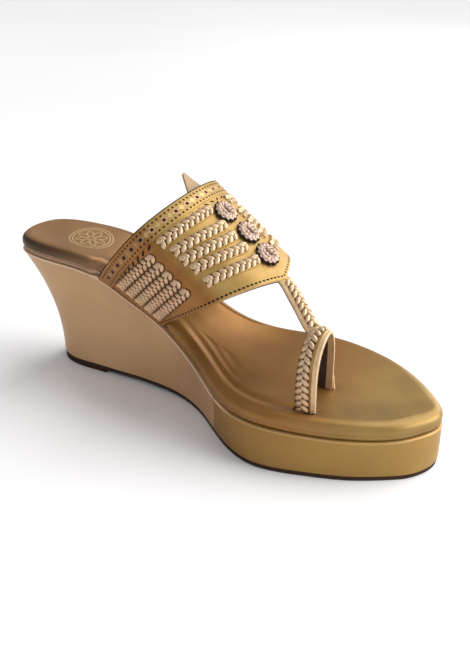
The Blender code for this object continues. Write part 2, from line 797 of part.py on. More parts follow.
def loop_slot(name, foot, outwards):
    """Box round a leg of the toe loop, where it goes down through the footbed."""
    (rear_x, y, z), (front_x, _, _) = foot
    faces = (y + outwards * BRAID_HEIGHT, y - outwards * WALL)
    low = np.array((rear_x - SLOT_CLEARANCE, min(faces) - SLOT_CLEARANCE, z - SLOT_BELOW))
    high = np.array((front_x + SLOT_CLEARANCE, max(faces) + SLOT_CLEARANCE, z + SLOT_ABOVE))
    builder = bmesh.new()
    bmesh.ops.create_cube(builder, size=1.0)
    for vertex in builder.verts:
        vertex.co = (low + high) / 2.0 + np.array(vertex.co) * (high - low)
    return make_helper(name, builder)


def open_for_upper(nodes):
    """Cut the room for the band's feet and the toe loop's legs."""
    cutters = [band_foot_room(-1), band_foot_room(1)]
    cutters.append(loop_slot("loop_slot_medial", LOOP_EDGES[0], -1.0))
    cutters.append(loop_slot("loop_slot_lateral", LOOP_EDGES[-1], 1.0))
    for node in nodes:
        for cutter in cutters:
            combine(node, cutter, "DIFFERENCE")


# ---------------------------------------------------------------- rosettes and ear tab ----
def make_rosette(name, girth, reach):
    """A coiled rosette, scalloped round its rim, that lies on the band's ridge."""
    count = 2 * ROSETTE_SCALLOPS
    rings = []
    for share, height in ROSETTE_PROFILE:
        ring = []
        for k in range(count):
            angle = 2.0 * math.pi * k / count
            scallop = 1.0 - ROSETTE_SCALLOP_DEPTH * (k % 2) * share
            radius = ROSETTE_RADIUS * share * scallop
            across, along = radius * math.sin(angle), radius * math.cos(angle)
            ring.append(BAND.point(girth + across, reach + along, GAP + height))
        rings.append(ring)
    builder = bmesh.new()
    rows = add_loft(builder, rings)
    for row, height in ((rows[0], ROSETTE_PROFILE[0][1]), (rows[-1], ROSETTE_PROFILE[-1][1])):
        centre = builder.verts.new(BAND.point(girth, reach, GAP + height))
        for k in range(count):
            builder.faces.new((row[k], row[(k + 1) % count], centre))
    return make_node(name, builder, "braid_leather")


def make_ear_tab():
    """Pointed pull tab, seated under the band's rear edge at the ridge."""
    sections = []
    for reach, half, lift, middle in EAR_SECTIONS:
        top = lift - WALL - GAP
        girths = (middle - half, middle, middle + half)
        section = [BAND.point(girth, reach, top) for girth in girths]
        section += [BAND.point(girth, reach, top - EAR_THICKNESS) for girth in girths[::-1]]
        sections.append(section)
    return make_node("ear_tab", ribbon_solid(sections), "gold_leather")


def build():
    clear_scene()
    make_heel_lift()
    make_outsole()
    make_wedge_and_platform()
    board = make_insole_board()
    footbed = make_footbed()
    make_upper()
    open_for_upper([board, footbed])
    for name, (girth, reach) in ROSETTES.items():
        make_rosette(name, girth, reach)
    make_ear_tab()


build()
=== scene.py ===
"""Looks of the wedge kolhapuri sandal, left foot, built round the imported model.

Sizes are in millimetres in the working frame of the solids: x runs from the heel to the
toe, y from the medial side (negative) to the lateral side and z up from the floor.
Shape.piece() turns them into metres with the origin at the sandal's bottom centre.
On the band, girth runs from the ridge down each side (negative on the medial one) and
reach runs from the band's rear edge to its front.
"""
from math import cos, exp, pi, radians, sin, sqrt

import bmesh
import bpy
import numpy as np
from mathutils import Matrix, Vector
from mathutils.bvhtree import BVHTree

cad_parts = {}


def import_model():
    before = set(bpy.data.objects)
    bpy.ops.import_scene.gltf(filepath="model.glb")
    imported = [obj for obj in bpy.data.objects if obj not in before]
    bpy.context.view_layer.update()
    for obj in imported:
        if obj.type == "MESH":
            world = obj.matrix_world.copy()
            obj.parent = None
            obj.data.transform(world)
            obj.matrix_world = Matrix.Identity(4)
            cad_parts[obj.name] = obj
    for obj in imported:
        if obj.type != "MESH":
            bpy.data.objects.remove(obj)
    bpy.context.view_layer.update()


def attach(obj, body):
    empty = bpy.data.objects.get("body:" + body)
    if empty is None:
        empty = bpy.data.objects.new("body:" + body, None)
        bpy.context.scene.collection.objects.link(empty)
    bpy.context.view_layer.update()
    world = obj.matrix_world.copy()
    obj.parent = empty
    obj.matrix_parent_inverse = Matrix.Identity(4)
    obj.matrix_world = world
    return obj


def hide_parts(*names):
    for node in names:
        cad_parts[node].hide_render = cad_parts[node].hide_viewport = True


METRES = 0.001
ORIGIN = np.array((122.1, 0.4, 0))
GAP = 0.3
SIDES = (-1, 1)

# --- sizes that the solids share ---
HEEL_END = (1.3, -4.1)
TOE_END = (242.4, 4.5)
LAST_SECTIONS = (
    # x, medial, lateral, underside
    (5.6, -18, 9.5, 69.9),
    (14.8, -22.6, 16.7, 69.4),
    (30, -22.8, 21.8, 68.3),
    (58, -19.2, 26.2, 63.6),
    (75, -17.4, 28.2, 54.9),
    (92, -13.4, 30.3, 43),
    (115, -17.4, 35, 28.1),
    (140, -33.6, 41.4, 22.2),
    (165, -42.7, 44.8, 23.1),
    (190, -38.9, 43.1, 22.9),
    (212, -30.4, 35.4, 22.4),
    (228, -20, 24, 22.1),
    (236, -10.4, 16, 21.9),
)
SOLE_HEEL_END = (15.8, 1.3)
SOLE_TOE_END = (243.1, 2.9)
SOLE_SECTIONS = (
    # x, medial, lateral
    (19, -6.6, 8.7),
    (30, -12.5, 14.3),
    (46, -12.6, 17),
    (61, -12, 18.6),
    (76, -11.2, 20.3),
    (92, -11.8, 23.6),
    (115, -16.3, 31.6),
    (140, -33.2, 41),
    (165, -44.4, 44.8),
    (190, -39.6, 43),
    (212, -31, 36.2),
    (228, -21, 25.2),
    (236.5, -13.6, 19.6),
)
RAKE_LENGTH = 76
FLARE_POWER = 2.1
WRAP_SEAM_X = 136.5
HEEL_LIFT_THICKNESS = 1.5
HEEL_LIFT_LENGTH_X = 53
OUTSOLE_THICKNESS = 2.4
OUTSOLE_INSET = 0.7
ARCH_FALL = (92, 122)
PLATFORM_EDGE_INSET = 0.4
BOARD_THICKNESS = 2.6

WALL = 2.2
BAND_FOOT_REAR = {-1: (58, -18.4, 63.7), 1: (58, 26.6, 63.7)}
BAND_FOOT_FRONT = {-1: (93.2, -12.6, 42.2), 1: (93.2, 30, 42.2)}
BAND_TOP_REAR = (103.4, 10, 113.7)
BAND_TIP = (161.5, -4.8, 83.2)
ARCH_REACH = 35.3
ARCH_EQUATOR = 42.6
FOOT_TWIST_POWER = 1.7
FRONT_EDGE_POWER = 1.3
BORDER_WIDTH = 9.5
BORDER_STEP = 0.7
BRAID_GIRTHS = (10, 37.8, 47.2, 83.6)
BRAID_MIDDLES = (
    # reach of each braid row at those girths
    (14.2, 13.2, 15.6, 12.9),
    (25.1, 20.8, 21.7, 19.1),
    (32.9, 27.3, 27.8, 25.3),
    (41, 33.8, 33.9, 31.4),
    (50, 42.8, 40, 37.4),
)
BRAID_HEIGHT = 1.5
STRAP_PATH = (
    # x, y, z, direction across
    (154, -2.8, 86.2, 0.10, 0.99, -0.10),
    (161.4, -4.7, 82.2, 0.14, 0.98, -0.12),
    (167, -6.4, 77.2, 0.30, 0.95, -0.08),
    (174, -9.4, 70.8, 0.36, 0.93, -0.02),
    (180, -12.6, 66.1, 0.38, 0.92, 0.04),
    (185, -15.2, 65, 0.30, 0.94, 0.10),
)
STRAP_WIDTH = 7.6
STRAP_BRAID_WIDTH = 5.8
LOOP_EDGES = (
    # rear edge x, y, z, front edge x, y, z
    (181, -30.6, 23.4, 191.5, -30.6, 23.4),
    (181, -30.6, 32, 191.5, -30.6, 32),
    (180.4, -30, 45, 191.2, -31, 46),
    (180, -27, 55, 191, -29.6, 58),
    (180, -22, 62, 190.8, -25, 65.5),
    (180.2, -15, 65, 190.4, -17.5, 68.2),
    (180.6, -8.4, 62.5, 189.8, -10.2, 65),
    (181, -4.6, 55, 189.2, -5.4, 57),
    (181, -3, 45, 188.8, -3.2, 46),
    (181, -3, 32, 188.8, -3, 32),
    (181, -3, 23.4, 188.8, -3, 23.4),
)
ROSETTES = {"rear": (0.4, 20.3), "mid": (2.2, 36.5), "front": (0.9, 51.9)}  # girth, reach
ROSETTE_RADIUS = 7
EAR_SECTIONS = (
    # reach, half-width, lift, girth of the middle
    (-11.5, 0.5, 3, -1.9),
    (-9, 1.9, 2.1, -1.4),
    (-6, 3.5, 1.2, -0.9),
    (-3, 5.4, 0.5, -0.4),
    (0, 7, 0, 0),
    (6, 7, 0, 0),
)
EAR_THICKNESS = 1.6

# --- sizes of the sole's detail ---
WELD = 0.01
HALF_STATIONS = 110
WALL_LEVELS = 26
RUBBER_ROUND = 0.25
EDGE_HEIGHT = 1.25
EDGE_PROFILE = (
    # inset, drop of the rolled bead round the top of the wrap
    (-0.05, 1.15), (-0.15, 0.9), (-0.16, 0.6), (0, 0.28), (0.35, 0.08), (1, 0))
SEAM_HALF_WIDTH = 0.55
SEAM_HEIGHT = 0.28
BOARD_SIDE = (
    # inset, height: the pad's leather goes on down over the board's side
    (2, 0), (1.45, 0.1), (1, 0.4), (0.65, 0.9), (0.42, 1.6), (0.3, 2.4), (0.3, 2.9))
RAND_SIDE = (
    # inset, height: the rolled rand at the heel
    (1.6, 0), (1.15, 0.1), (0.9, 0.45), (0.85, 1.1), (1, 1.6), (1.3, 1.85), (1.3, 2.9))
RAND_END = (50, 58)
RAND_COLOUR_END = 57
PAD_SIDE = (
    # inset, height above the pad's base
    (2.4, 0), (0.36, 0), (0.3, 0.15), (0.3, 1.1), (0.3, 2.1), (0.55, 3.1), (1.1, 4),
    (1.9, 4.7), (2.9, 5.2), (4, 5.5), (5.2, 5.6))
PAD_TOP = ((0, 5.6), (0.18, 5.2), (0.42, 4.6), (1, 4.3))  # share of the way in, height
PAD_TOP_RINGS = 30
PAD_TOP_CROWDING = 1.3
PAD_CORE_SHRINK = 0.8
BOARD_NOTCH = 2.2  # room for the band's feet
PAD_NOTCH = 2.5
NOTCH_RAMP = (0.6, 4)
LOOP_LEGS = ((186.2, -30.2), (184.9, -3.4))
DIMPLE = (0.9, 6.5, 3.6)  # depth and half lengths of the sunk place round each leg
LOOP_SLOTS = ((5.9, 2.3), (4.5, 2.3))
FURROWS = (
    # inside the crest, half width, depth, where it starts and where it ends along the shoe
    (5, 2.4, 0.9, (88, 112), (172, 200)),
    (11.5, 2, 0.45, (88, 102), (130, 156)),
    (18, 2.6, 0.4, (92, 108), (124, 148)),
    (26, 3, 0.3, (96, 110), (118, 140)),
)
STAMP_CENTRE = (38.2, 1.9)
STAMP_RINGS = (11.9, 10.2)
STAMP_PETAL = (5.2, 3.4, 1.7)  # middle, half length and half width
STAMP_LINE = (0.8, 0.05)  # width and lift
SLOT_LIFT = 0.07

# --- sizes of the upper's detail ---
BAND_LIMIT = 83.8  # below this girth the band's columns run straight to its foot
FOOT_STATIONS = 8
BAND_CUTS = (0.55, 0.55)  # how much of each edge is cut leather; the rest is lining
PLAIT_PITCH = 3.6
PLAIT_SLANT = 0.78
PLAIT_SPREAD = 0.235  # distance of the leaves' middles from the plait's, by its width
LEAF_LENGTH = 0.82  # by the plait's width
LEAF_STATIONS = 7
LEAF_SIDES = 8
LEAF_DEPTH = 0.5  # below its middle
LEAF_POINT = (0.12, 2.4, 0.6)  # least width, and the powers of its outline
INSTEP_ENDS = (40.4, 38.4, 38.4, 37.4, 37.4)  # outer girth of the instep's plaits
RIDGE_ENDS = {-1: 5, 1: 11}  # and where they end below the ridge
SIDE_END = 84.2
SIDE_LENGTH = 38
INSTEP_PLAIT = (5.7, 0.74, 0.4, "gold_leather")  # width, leaves' thickness by the pitch, rim
# the side plaits' dark rims are painted shade in the slits between the rows
SIDE_PLAIT = (5.3, 0.64, 0.28, "braid_painted_shade")
RIM_SPACING = 1.2
PLAIN_GIRTH = 42  # the plain leather between the side's plaits and the instep's
HOLE_LIFT = 0.05
PUNCHES = (
    # where, last girth, pitch, shift, reach, 1 on the border's step, half lengths, turn, corners,
    # lift, leather
    # the near-black marks paint the shade inside the punched holes and slits
    ("all", 87.5, 2.5, 0, 2.2, 1, (0.6, 0.6), 0, 8, 1, "shadow_leather"),
    ("all", 87.5, 2.5, 0, 7.8, 1, (0.6, 0.6), 0, 8, 1, "shadow_leather"),
    ("all", 82.5, 7.5, 0, 5, 1, (2.4, 2), 0, 4, 1, "tooled_leather"),
    ("instep", 82.5, 7.5, 0, 5, 1, (0.95, 0.95), 0, 8, 2, "shadow_leather"),
    ("side", 82.5, 7.5, 0, 5, 1, (1.3, 1), 0, 8, 2, "shadow_leather"),
    ("all", 82.5, 7.5, 3.75, 5, 1, (1.7, 1.7), 0, 4, 1, "foil"),
    ("instep", 84, 4.9, 0, 11, 0, (1.5, 0.55), 0.6, 6, 1, "shadow_leather"),
    ("side", 84, 4.9, 0, 10.6, 0, (1.8, 0.8), -0.6, 6, 1, "shadow_leather"),
)
STITCHES = (89, 2.3, 1.6, (0.8, 0.55))  # last girth, pitch, distance from the front, half lengths
REAR_SHADOW = (89.5, (0.02, 0.5), 0.06)  # last girth, reaches and height over the border
STRAP_LIP = (1.3, 1.5)  # width of the cut edge and of the leather folded in
LOOP_LIP = (2, 3.2)
SPLIT_LAYER = (13, 2.4, 1.4)  # length, parting at its foot and its power
STRAP_CUTS = (0.76216, 0.68571)
STRAP_PLAIT = (8.6, -0.65, 3.4, 5)  # its start, shift and pitch, and the strap it leaves
LOOP_PLAIT = (6.572, -0.13)  # width, and shift by the loop's width
ROSETTE_TOP = 1.7
ROSETTE_SCALLOPS = (13, 91)  # how many, and the points round a ring
ROSETTE_BACKING = (
    # share of the radius, height over the top, depth of the scallops
    (0.5, -1.7, 0), (0.94, -1.7, 0.13), (1.03, -1.2, 0.13), (1.02, -0.3, 0.13),
    (0.86, 0, 0.05), (0.2, 0, 0))
ROSETTE_DISC = (
    (0.3, -0.4, 0), (0.88, -0.4, 0.12), (0.93, 0.05, 0.12), (0.86, 0.35, 0.1), (0.3, 0.3, 0))
ROSETTE_RING = (4.7, 13, 3.3, 0.6)  # radius, count, length and slant of the outer knots
ROSETTE_CORE = (2.1, 1.95, 2.7, 1.1)  # spacing, distance from the slit, length and slant
KNOT = (0.95, 0.2)  # height and tilt
ROSETTE_SLIT = (6.4, 0.8, 0.62)  # length, width, height


# --- curves ---
def turns(count):
    """Angles of points spread evenly round a circle."""
    return [2 * pi * k / count for k in range(count)]


def smooth_step(low, high, value):
    share = np.clip((value - low) / (high - low), 0, 1)
    return share * share * (3 - 2 * share)


def walk(points):
    """The way walked along a line of points, at each of them."""
    return np.concatenate([[0], np.cumsum(np.linalg.norm(np.diff(points, axis=0), axis=1))])


def read_line(at, walked, points):
    return np.stack([np.interp(at, walked, column) for column in points.T], axis=-1)


def unit(vectors):
    return vectors / np.linalg.norm(vectors, axis=-1, keepdims=True)


def second_derivatives(steps, slopes, closed):
    """Second derivatives of a cubic spline, from its knot spacing and chord slopes."""
    count = len(slopes) if closed else len(slopes) + 1
    system, target = np.eye(count), np.zeros((count,) + slopes.shape[1:])
    for knot in range(count) if closed else range(1, count - 1):
        before, after = steps[knot - 1], steps[knot]
        system[knot, knot - 1] = before
        system[knot, knot] = 2 * (before + after)
        system[knot, (knot + 1) % count] = after
        target[knot] = 6 * (slopes[knot] - slopes[knot - 1])
    return np.linalg.solve(system, target)


def spline_value(start, end, bend_start, bend_end, step, share):
    chord = start * (1 - share) + end * share
    bow = (share ** 3 - share) * bend_end + ((1 - share) ** 3 - (1 - share)) * bend_start
    return chord + bow * step * step / 6


def smooth_function(knots, values):
    """A natural cubic spline through a table's columns, as a function of its first one."""
    knots, values = np.asarray(knots, float), np.asarray(values, float)
    steps = np.diff(knots)
    bends = second_derivatives(steps, (np.diff(values.T) / steps).T, closed=False)

    def value(x):
        x = min(max(x, knots[0]), knots[-1])
        k = min(int(np.searchsorted(knots, x, side="right")) - 1, len(steps) - 1)
        return spline_value(
            values[k], values[k + 1], bends[k], bends[k + 1], steps[k], (x - knots[k]) / steps[k])

    return value


def smooth_rows(table, count):
    """A table's rows joined by splines and read at evenly spread places."""
    path = smooth_function(range(len(table)), table)
    return np.array([path(place) for place in np.linspace(0, len(table) - 1, count)])


def closed_curve(points, spline_steps=60):
    points = np.asarray(points, float)
    ahead = np.roll(points, -1, axis=0)
    steps = np.sqrt(np.linalg.norm(ahead - points, axis=1))
    bends = second_derivatives(steps, (ahead - points) / steps[:, None], closed=True)
    following = np.roll(bends, -1, axis=0)
    return np.array([
        spline_value(points[k], ahead[k], bends[k], following[k], steps[k], share)
        for k in range(len(points))
        for share in np.linspace(0, 1, spline_steps, endpoint=False)])


class Outline:
    """A closed plan outline through a section table."""

    def __init__(self, sections, heel_end, toe_end):
        medial = [row[:2] for row in sections]
        lateral = [(row[0], row[2]) for row in sections]
        curve = closed_curve([heel_end] + medial + [toe_end] + lateral[::-1])
        curve = np.roll(curve, -int(curve[:, 0].argmin()), axis=0)
        toe = int(curve[:, 0].argmax())
        self.start, self.end = curve[0], curve[toe]
        self.sides = curve[:toe + 1], np.vstack([curve[toe:], curve[:1]])[::-1]

    def ring(self, stations):
        """The outline at stations from heel to toe, first the medial side, then back."""
        inner = stations[1:-1]
        medial, lateral = (
            np.column_stack([inner, np.interp(inner, *side.T)]) for side in self.sides)
        return np.vstack([self.start, medial, self.end, lateral[::-1]])


LAST = Outline(LAST_SECTIONS, HEEL_END, TOE_END)
SOLE = Outline(SOLE_SECTIONS, SOLE_HEEL_END, SOLE_TOE_END)
MIDDLE_X = (LAST.start[0] + LAST.end[0]) / 2
underside = smooth_function([row[0] for row in LAST_SECTIONS], [row[3] for row in LAST_SECTIONS])


def sole_stations(x):
    """Stations of the sole under the last's, raked at the heel and the toe."""
    from_heel = np.maximum(0, 1 - (x - LAST.start[0]) / RAKE_LENGTH)
    from_toe = np.maximum(0, 1 - (LAST.end[0] - x) / RAKE_LENGTH)
    heel_rake, toe_rake = SOLE.start[0] - LAST.start[0], SOLE.end[0] - LAST.end[0]
    return x + heel_rake * from_heel ** 2 + toe_rake * from_toe ** 2


STATIONS = MIDDLE_X - (LAST.end[0] - MIDDLE_X) * np.cos(
    np.linspace(0, pi, HALF_STATIONS + 1))
LAST_RING = LAST.ring(STATIONS)
SOLE_RING = SOLE.ring(sole_stations(STATIONS))


def inset_ring(ring, inset):
    tangent = unit(np.roll(ring, -2, axis=0) - np.roll(ring, 2, axis=0))
    inward = np.stack([-tangent[:, 1], tangent[:, 0]], axis=1)
    return ring + inward * np.reshape(inset, (-1, 1))


def lift_ring(ring, height_of, lift=0):
    return np.array([(x, y, height_of(x) + lift) for x, y in ring])


# --- materials ---
SURFACES = {
    # light, dark, metallic, roughness, grain mm, grain depth mm, blotch mm
    "gold_leather": ((0.49, 0.315, 0.098), (0.40, 0.245, 0.07), 0.5, 0.5, 0.8, 0.03, 9),
    "braid_leather": ((0.65, 0.47, 0.29), (0.50, 0.345, 0.205), 0.45, 0.34, 0.6, 0.02, 4),
    # near-black brown under and between the plaits' leaves: painted shade
    "braid_painted_shade": ((0.125, 0.065, 0.034), (0.09, 0.045, 0.024), 0, 0.7, 0.5, 0.02, 3),
    "footbed_leather": ((0.315, 0.198, 0.058), (0.245, 0.15, 0.042), 0.6, 0.42, 0.7, 0.02, 24),
    "wedge_leather": ((0.47, 0.27, 0.135), (0.41, 0.23, 0.11), 0.45, 0.46, 0.6, 0.012, 30),
    "platform_leather": ((0.35, 0.208, 0.052), (0.30, 0.175, 0.042), 0.55, 0.46, 0.6, 0.015, 26),
    "bead_leather": ((0.46, 0.28, 0.095), (0.40, 0.24, 0.08), 0.45, 0.45, 0.6, 0.015, 20),
    "ear_leather": ((0.33, 0.23, 0.12), (0.27, 0.18, 0.09), 0.3, 0.5, 0.7, 0.02, 8),
    "rosette_leather": ((0.56, 0.41, 0.31), (0.42, 0.29, 0.22), 0.35, 0.4, 0.6, 0.02, 3),
    "tooled_leather": ((0.60, 0.36, 0.20), (0.52, 0.30, 0.16), 0.3, 0.45, 0.6, 0.02, 3),
    "rand_leather": ((0.42, 0.25, 0.155), (0.34, 0.195, 0.12), 0.3, 0.45, 0.5, 0.02, 8),
    "cut_edge": ((0.66, 0.46, 0.27), (0.54, 0.36, 0.19), 0.15, 0.5, 0.5, 0.03, 3),
    "folded_lining": ((0.55, 0.33, 0.17), (0.44, 0.26, 0.13), 0.1, 0.55, 0.5, 0.03, 3),
    "lining": ((0.07, 0.038, 0.024), (0.045, 0.025, 0.016), 0, 0.7, 0.5, 0.03, 5),
    "shadow_leather": ((0.03, 0.016, 0.01), (0.018, 0.01, 0.007), 0, 0.7, 0.5, 0.02, 3),
    "rubber": ((0.045, 0.023, 0.015), (0.03, 0.015, 0.01), 0, 0.75, 0.4, 0.02, 6),
    "foil": ((0.66, 0.47, 0.20), (0.56, 0.38, 0.15), 0.5, 0.4, 0.5, 0.01, 4),
    "stamp_foil": ((0.62, 0.43, 0.20), (0.55, 0.37, 0.16), 0.5, 0.42, 0.5, 0.01, 4),
}
FORWARD = (1, 0, 0)
RISING = (0.52, 0, 1)
TONES_AND_PAINTED_SHADES = {
    # light, dark, direction, and the metres along it where this colour ends and the next is full;
    # tones of the leather, and painted shade where noted
    "bead_leather": (((0.74, 0.53, 0.36), (0.66, 0.46, 0.30), FORWARD, 0.018, 0.032),),
    # painted shade: the band's leather, plaits, foil and tooling take other, mostly browner and
    # darker colours low on the band's sides
    "gold_leather": (((0.35, 0.152, 0.031), (0.285, 0.116, 0.024), RISING, 0.082, 0.091),),
    "braid_leather": (((0.70, 0.45, 0.275), (0.57, 0.36, 0.21), RISING, 0.066, 0.088),),
    "foil": (((0.37, 0.20, 0.08), (0.31, 0.16, 0.06), RISING, 0.074, 0.088),),
    "tooled_leather": (((0.30, 0.14, 0.05), (0.25, 0.11, 0.04), RISING, 0.074, 0.088),),
    "footbed_leather": (
        ((0.36, 0.195, 0.082), (0.30, 0.155, 0.065), FORWARD, -0.07, -0.03),
        # waist and ball: painted shade from the band over them; the heel keeps its own tone
        # before them
        ((0.305, 0.145, 0.034), (0.25, 0.112, 0.026), FORWARD, 0.05, 0.10),
    ),
    "wedge_leather": (((0.56, 0.345, 0.18), (0.49, 0.295, 0.15), FORWARD, -0.065, 0.02),),
    # painted shade: the platform darker at its rear and lighter towards the toe, as the light
    # falls on it
    "platform_leather": (((0.31, 0.163, 0.039), (0.265, 0.136, 0.032), FORWARD, 0.03, 0.10),),
}
PAINTED_SHADE_SIDES = {
    # painted shade on the steep faces at the heel, such as the pad's rolled side: its colour,
    # direction, and the metres over which it fades out
    "footbed_leather": ((0.07, 0.04, 0.018), FORWARD, -0.108, -0.03),
}
# the painted shade on a side starts and ends at these heights of a normal
SIDE_SHADE_RANGE = (0.75, 0.9994)  # how far up a normal points where a side starts and ends
MATT_SPECULAR = 0.15
FLOOR = ((0.84, 0.84, 0.85), (0.88, 0.88, 0.89), 400, 0.6)  # colours, blotch mm, roughness


class Nodes:
    """A node tree under construction."""

    def __init__(self, name):
        self.material = bpy.data.materials.new(name)
        self.material.use_nodes = True
        self.tree = self.material.node_tree
        self.shader = self.tree.nodes["Principled BSDF"]

    def add(self, kind, output, inputs, **attributes):
        """A new node's output."""
        node = self.tree.nodes.new(f"ShaderNode{kind}")
        for key, value in attributes.items():
            setattr(node, key, value)
        self.fill(node, inputs)
        return node.outputs[output]

    def fill(self, node, inputs):
        """Give each of a node's inputs a value or, from a socket, a link."""
        for key, value in inputs.items():
            if isinstance(value, bpy.types.NodeSocket):
                self.tree.links.new(value, node.inputs[key])
            else:
                node.inputs[key].default_value = value

    def texture(self, kind, output, size_mm, **inputs):
        """A texture with features of a size in millimetres, fixed to the object."""
        place = self.add("TexCoord", "Object", {})
        inputs.update({"Vector": place, "Scale": 1 / (size_mm * METRES)})
        return self.add(kind, output, inputs)

    def noise(self, size_mm):
        return self.texture("TexNoise", "Fac", size_mm, Detail=3)

    def along(self, source, direction, start, end):
        """0 to 1 between two values of the object's coordinates or normal along a direction."""
        inputs = {0: self.add("TexCoord", source, {}), 1: direction}
        product = self.add("VectorMath", "Value", inputs, operation="DOT_PRODUCT")
        inputs = {"Value": product, "From Min": start, "From Max": end}
        return self.add(
            "MapRange", "Result", inputs, interpolation_type="SMOOTHSTEP")

    def span(self, factor, low, high):
        inputs = {"Value": factor, "To Min": low, "To Max": high}
        return self.add("MapRange", "Result", inputs)

    def mix(self, factor, low, high):
        return self.add("Mix", 2, {"Factor": factor, 6: low, 7: high}, data_type="RGBA")

    def blend(self, factor, *colours):
        """Colour ramp between two colours over the middle of a factor."""
        result = self.add("ValToRGB", "Color", {"Fac": factor})
        for stop, place, colour in zip(result.node.color_ramp.elements, (0.3, 0.7), colours):
            stop.position, stop.color = place, (*colour, 1)
        return result

    def bump(self, height, depth_mm, **before):
        inputs = {"Distance": depth_mm * METRES, "Height": height, **before}
        return self.add("Bump", "Normal", inputs)


def surface(name):
    """The named leather or rubber, with its grain, blotches and varied roughness, its tones along
    the shoe and its painted shade.
    """
    title = f"{name}_grained"
    if title in bpy.data.materials:
        return bpy.data.materials[title]
    light, dark, metallic, roughness, grain, depth, blotch = SURFACES[name]
    nodes = Nodes(title)
    blotches = nodes.noise(blotch)
    colour = nodes.blend(blotches, dark, light)
    # tones along the shoe, and painted shade on the band's sides, the pad's waist and the
    # platform's rear
    for light, dark, *stage in reversed(TONES_AND_PAINTED_SHADES.get(name, ())):
        before = nodes.blend(blotches, dark, light)
        colour = nodes.mix(nodes.along("Object", *stage), before, colour)
    # painted shade on steep faces at the heel, fading out towards the toe
    if name in PAINTED_SHADE_SIDES:
        dark, *stage = PAINTED_SHADE_SIDES[name]
        side_shade = nodes.mix(nodes.along("Object", *stage), (*dark, 1), colour)
        colour = nodes.mix(nodes.along("Normal", (0, 0, 1), *SIDE_SHADE_RANGE), side_shade, colour)
    pebbles = nodes.bump(nodes.texture("TexVoronoi", "Distance", grain), depth)
    nodes.fill(nodes.shader, {
        "Base Color": colour,
        "Metallic": metallic,
        "Specular IOR Level": 0.5 if metallic else MATT_SPECULAR,
        "Roughness": nodes.span(nodes.noise(blotch * 0.4), roughness - 0.06, roughness + 0.08),
        "Normal": nodes.bump(nodes.noise(grain * 5), depth * 1.5, Normal=pebbles)})
    return nodes.material


# --- shapes ---
def add_object(name, data):
    item = bpy.data.objects.new(name, data)
    bpy.context.scene.collection.objects.link(item)
    return item


class Shape:
    """Grids of quads in working millimetres that become one piece."""

    def __init__(self, *materials):
        self.materials = materials
        self.points = []
        self.faces = []
        self.slots = []

    def add_points(self, points):
        first = len(self.points)
        self.points.extend(np.asarray(points, float).reshape(-1, 3).tolist())
        return first

    def face(self, corners, material=None):
        """One face, of the first material unless another is named."""
        self.faces.append(tuple(corners))
        self.slots.append(self.materials.index(material or self.materials[0]))

    def polygon(self, points, material=None):
        first = self.add_points(points)
        self.face(range(first, len(self.points)), material)

    def grid(self, rows, material=None, closed=False):
        """Quads between neighbouring rows of points; closed joins the ends of each row."""
        rows = np.asarray(rows, float)
        count, width = rows.shape[:2]
        first = self.add_points(rows)
        for near in range(first, first + (count - 1) * width, width):
            for j in range(width if closed else width - 1):
                k = (j + 1) % width
                corners = (near + j, near + k, near + width + k, near + width + j)
                self.face(corners, material)
        return first

    def tube(self, rings, material=None):
        """A closed body lofted through rings, with flat ends."""
        width = len(rings[0])
        first = self.grid(rings, material, closed=True)
        for start in (first, len(self.points) - width):
            self.face(range(start, start + width), material)

    def piece(self, name, slot, *replaced, sharp=35, weld=0):
        """The collected shape as an object that rides on the sandal."""
        mesh = bpy.data.meshes.new(name)
        mesh.from_pydata(((np.array(self.points) - ORIGIN) * METRES).tolist(), [], self.faces)
        for material in self.materials:
            mesh.materials.append(surface(material))
        mesh.polygons.foreach_set("material_index", self.slots)
        builder = bmesh.new()
        builder.from_mesh(mesh)
        if weld:
            bmesh.ops.remove_doubles(builder, verts=builder.verts, dist=weld * METRES)
        bmesh.ops.recalc_face_normals(builder, faces=builder.faces)
        builder.to_mesh(mesh)
        builder.free()
        mesh.shade_smooth()
        mesh.set_sharp_from_angle(angle=radians(sharp))
        item = add_object(name, mesh)
        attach(item, "root")
        if replaced:
            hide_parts(*replaced)
        return item


def cap(shape, ring, height_of, material=None):
    """Close a ring of the sole across a spine of points from heel to toe."""
    ring = np.asarray(ring)
    half = len(ring) // 2
    near, far = ring[:half + 1], np.vstack([ring[:1], ring[:half - 1:-1]])
    spine = (near + far) / 2
    spine[1:-1, 2] = [height_of(x) for x in spine[1:-1, 0]]
    for side in (near, far):
        shape.grid(np.stack([side, spine], axis=1), material)


def keep_side(item, x, keep_rear):
    """Cut a piece at a plane across the sandal."""
    builder = bmesh.new()
    builder.from_mesh(item.data)
    geometry = builder.verts[:] + builder.edges[:] + builder.faces[:]
    result = bmesh.ops.bisect_plane(
        builder, geom=geometry, plane_co=((x - ORIGIN[0]) * METRES, 0, 0),
        plane_no=(1, 0, 0), dist=1e-7, clear_outer=keep_rear, clear_inner=not keep_rear)
    rim = [edge for edge in result["geom_cut"] if isinstance(edge, bmesh.types.BMEdge)]
    bmesh.ops.contextual_create(builder, geom=rim)
    builder.to_mesh(item.data)
    builder.free()


# --- the sole ---
def outsole_underside(x):
    start, end = ARCH_FALL
    share = min(max((x - start) / (end - start), 0), 1)
    return (HEEL_LIFT_THICKNESS + GAP) * (1 + cos(pi * share)) / 2


def wedge_bottom(x):
    return outsole_underside(x) + OUTSOLE_THICKNESS + GAP


def wedge_top(x):
    return underside(x) - GAP


def pad_base(x):
    return underside(x) + BOARD_THICKNESS + GAP


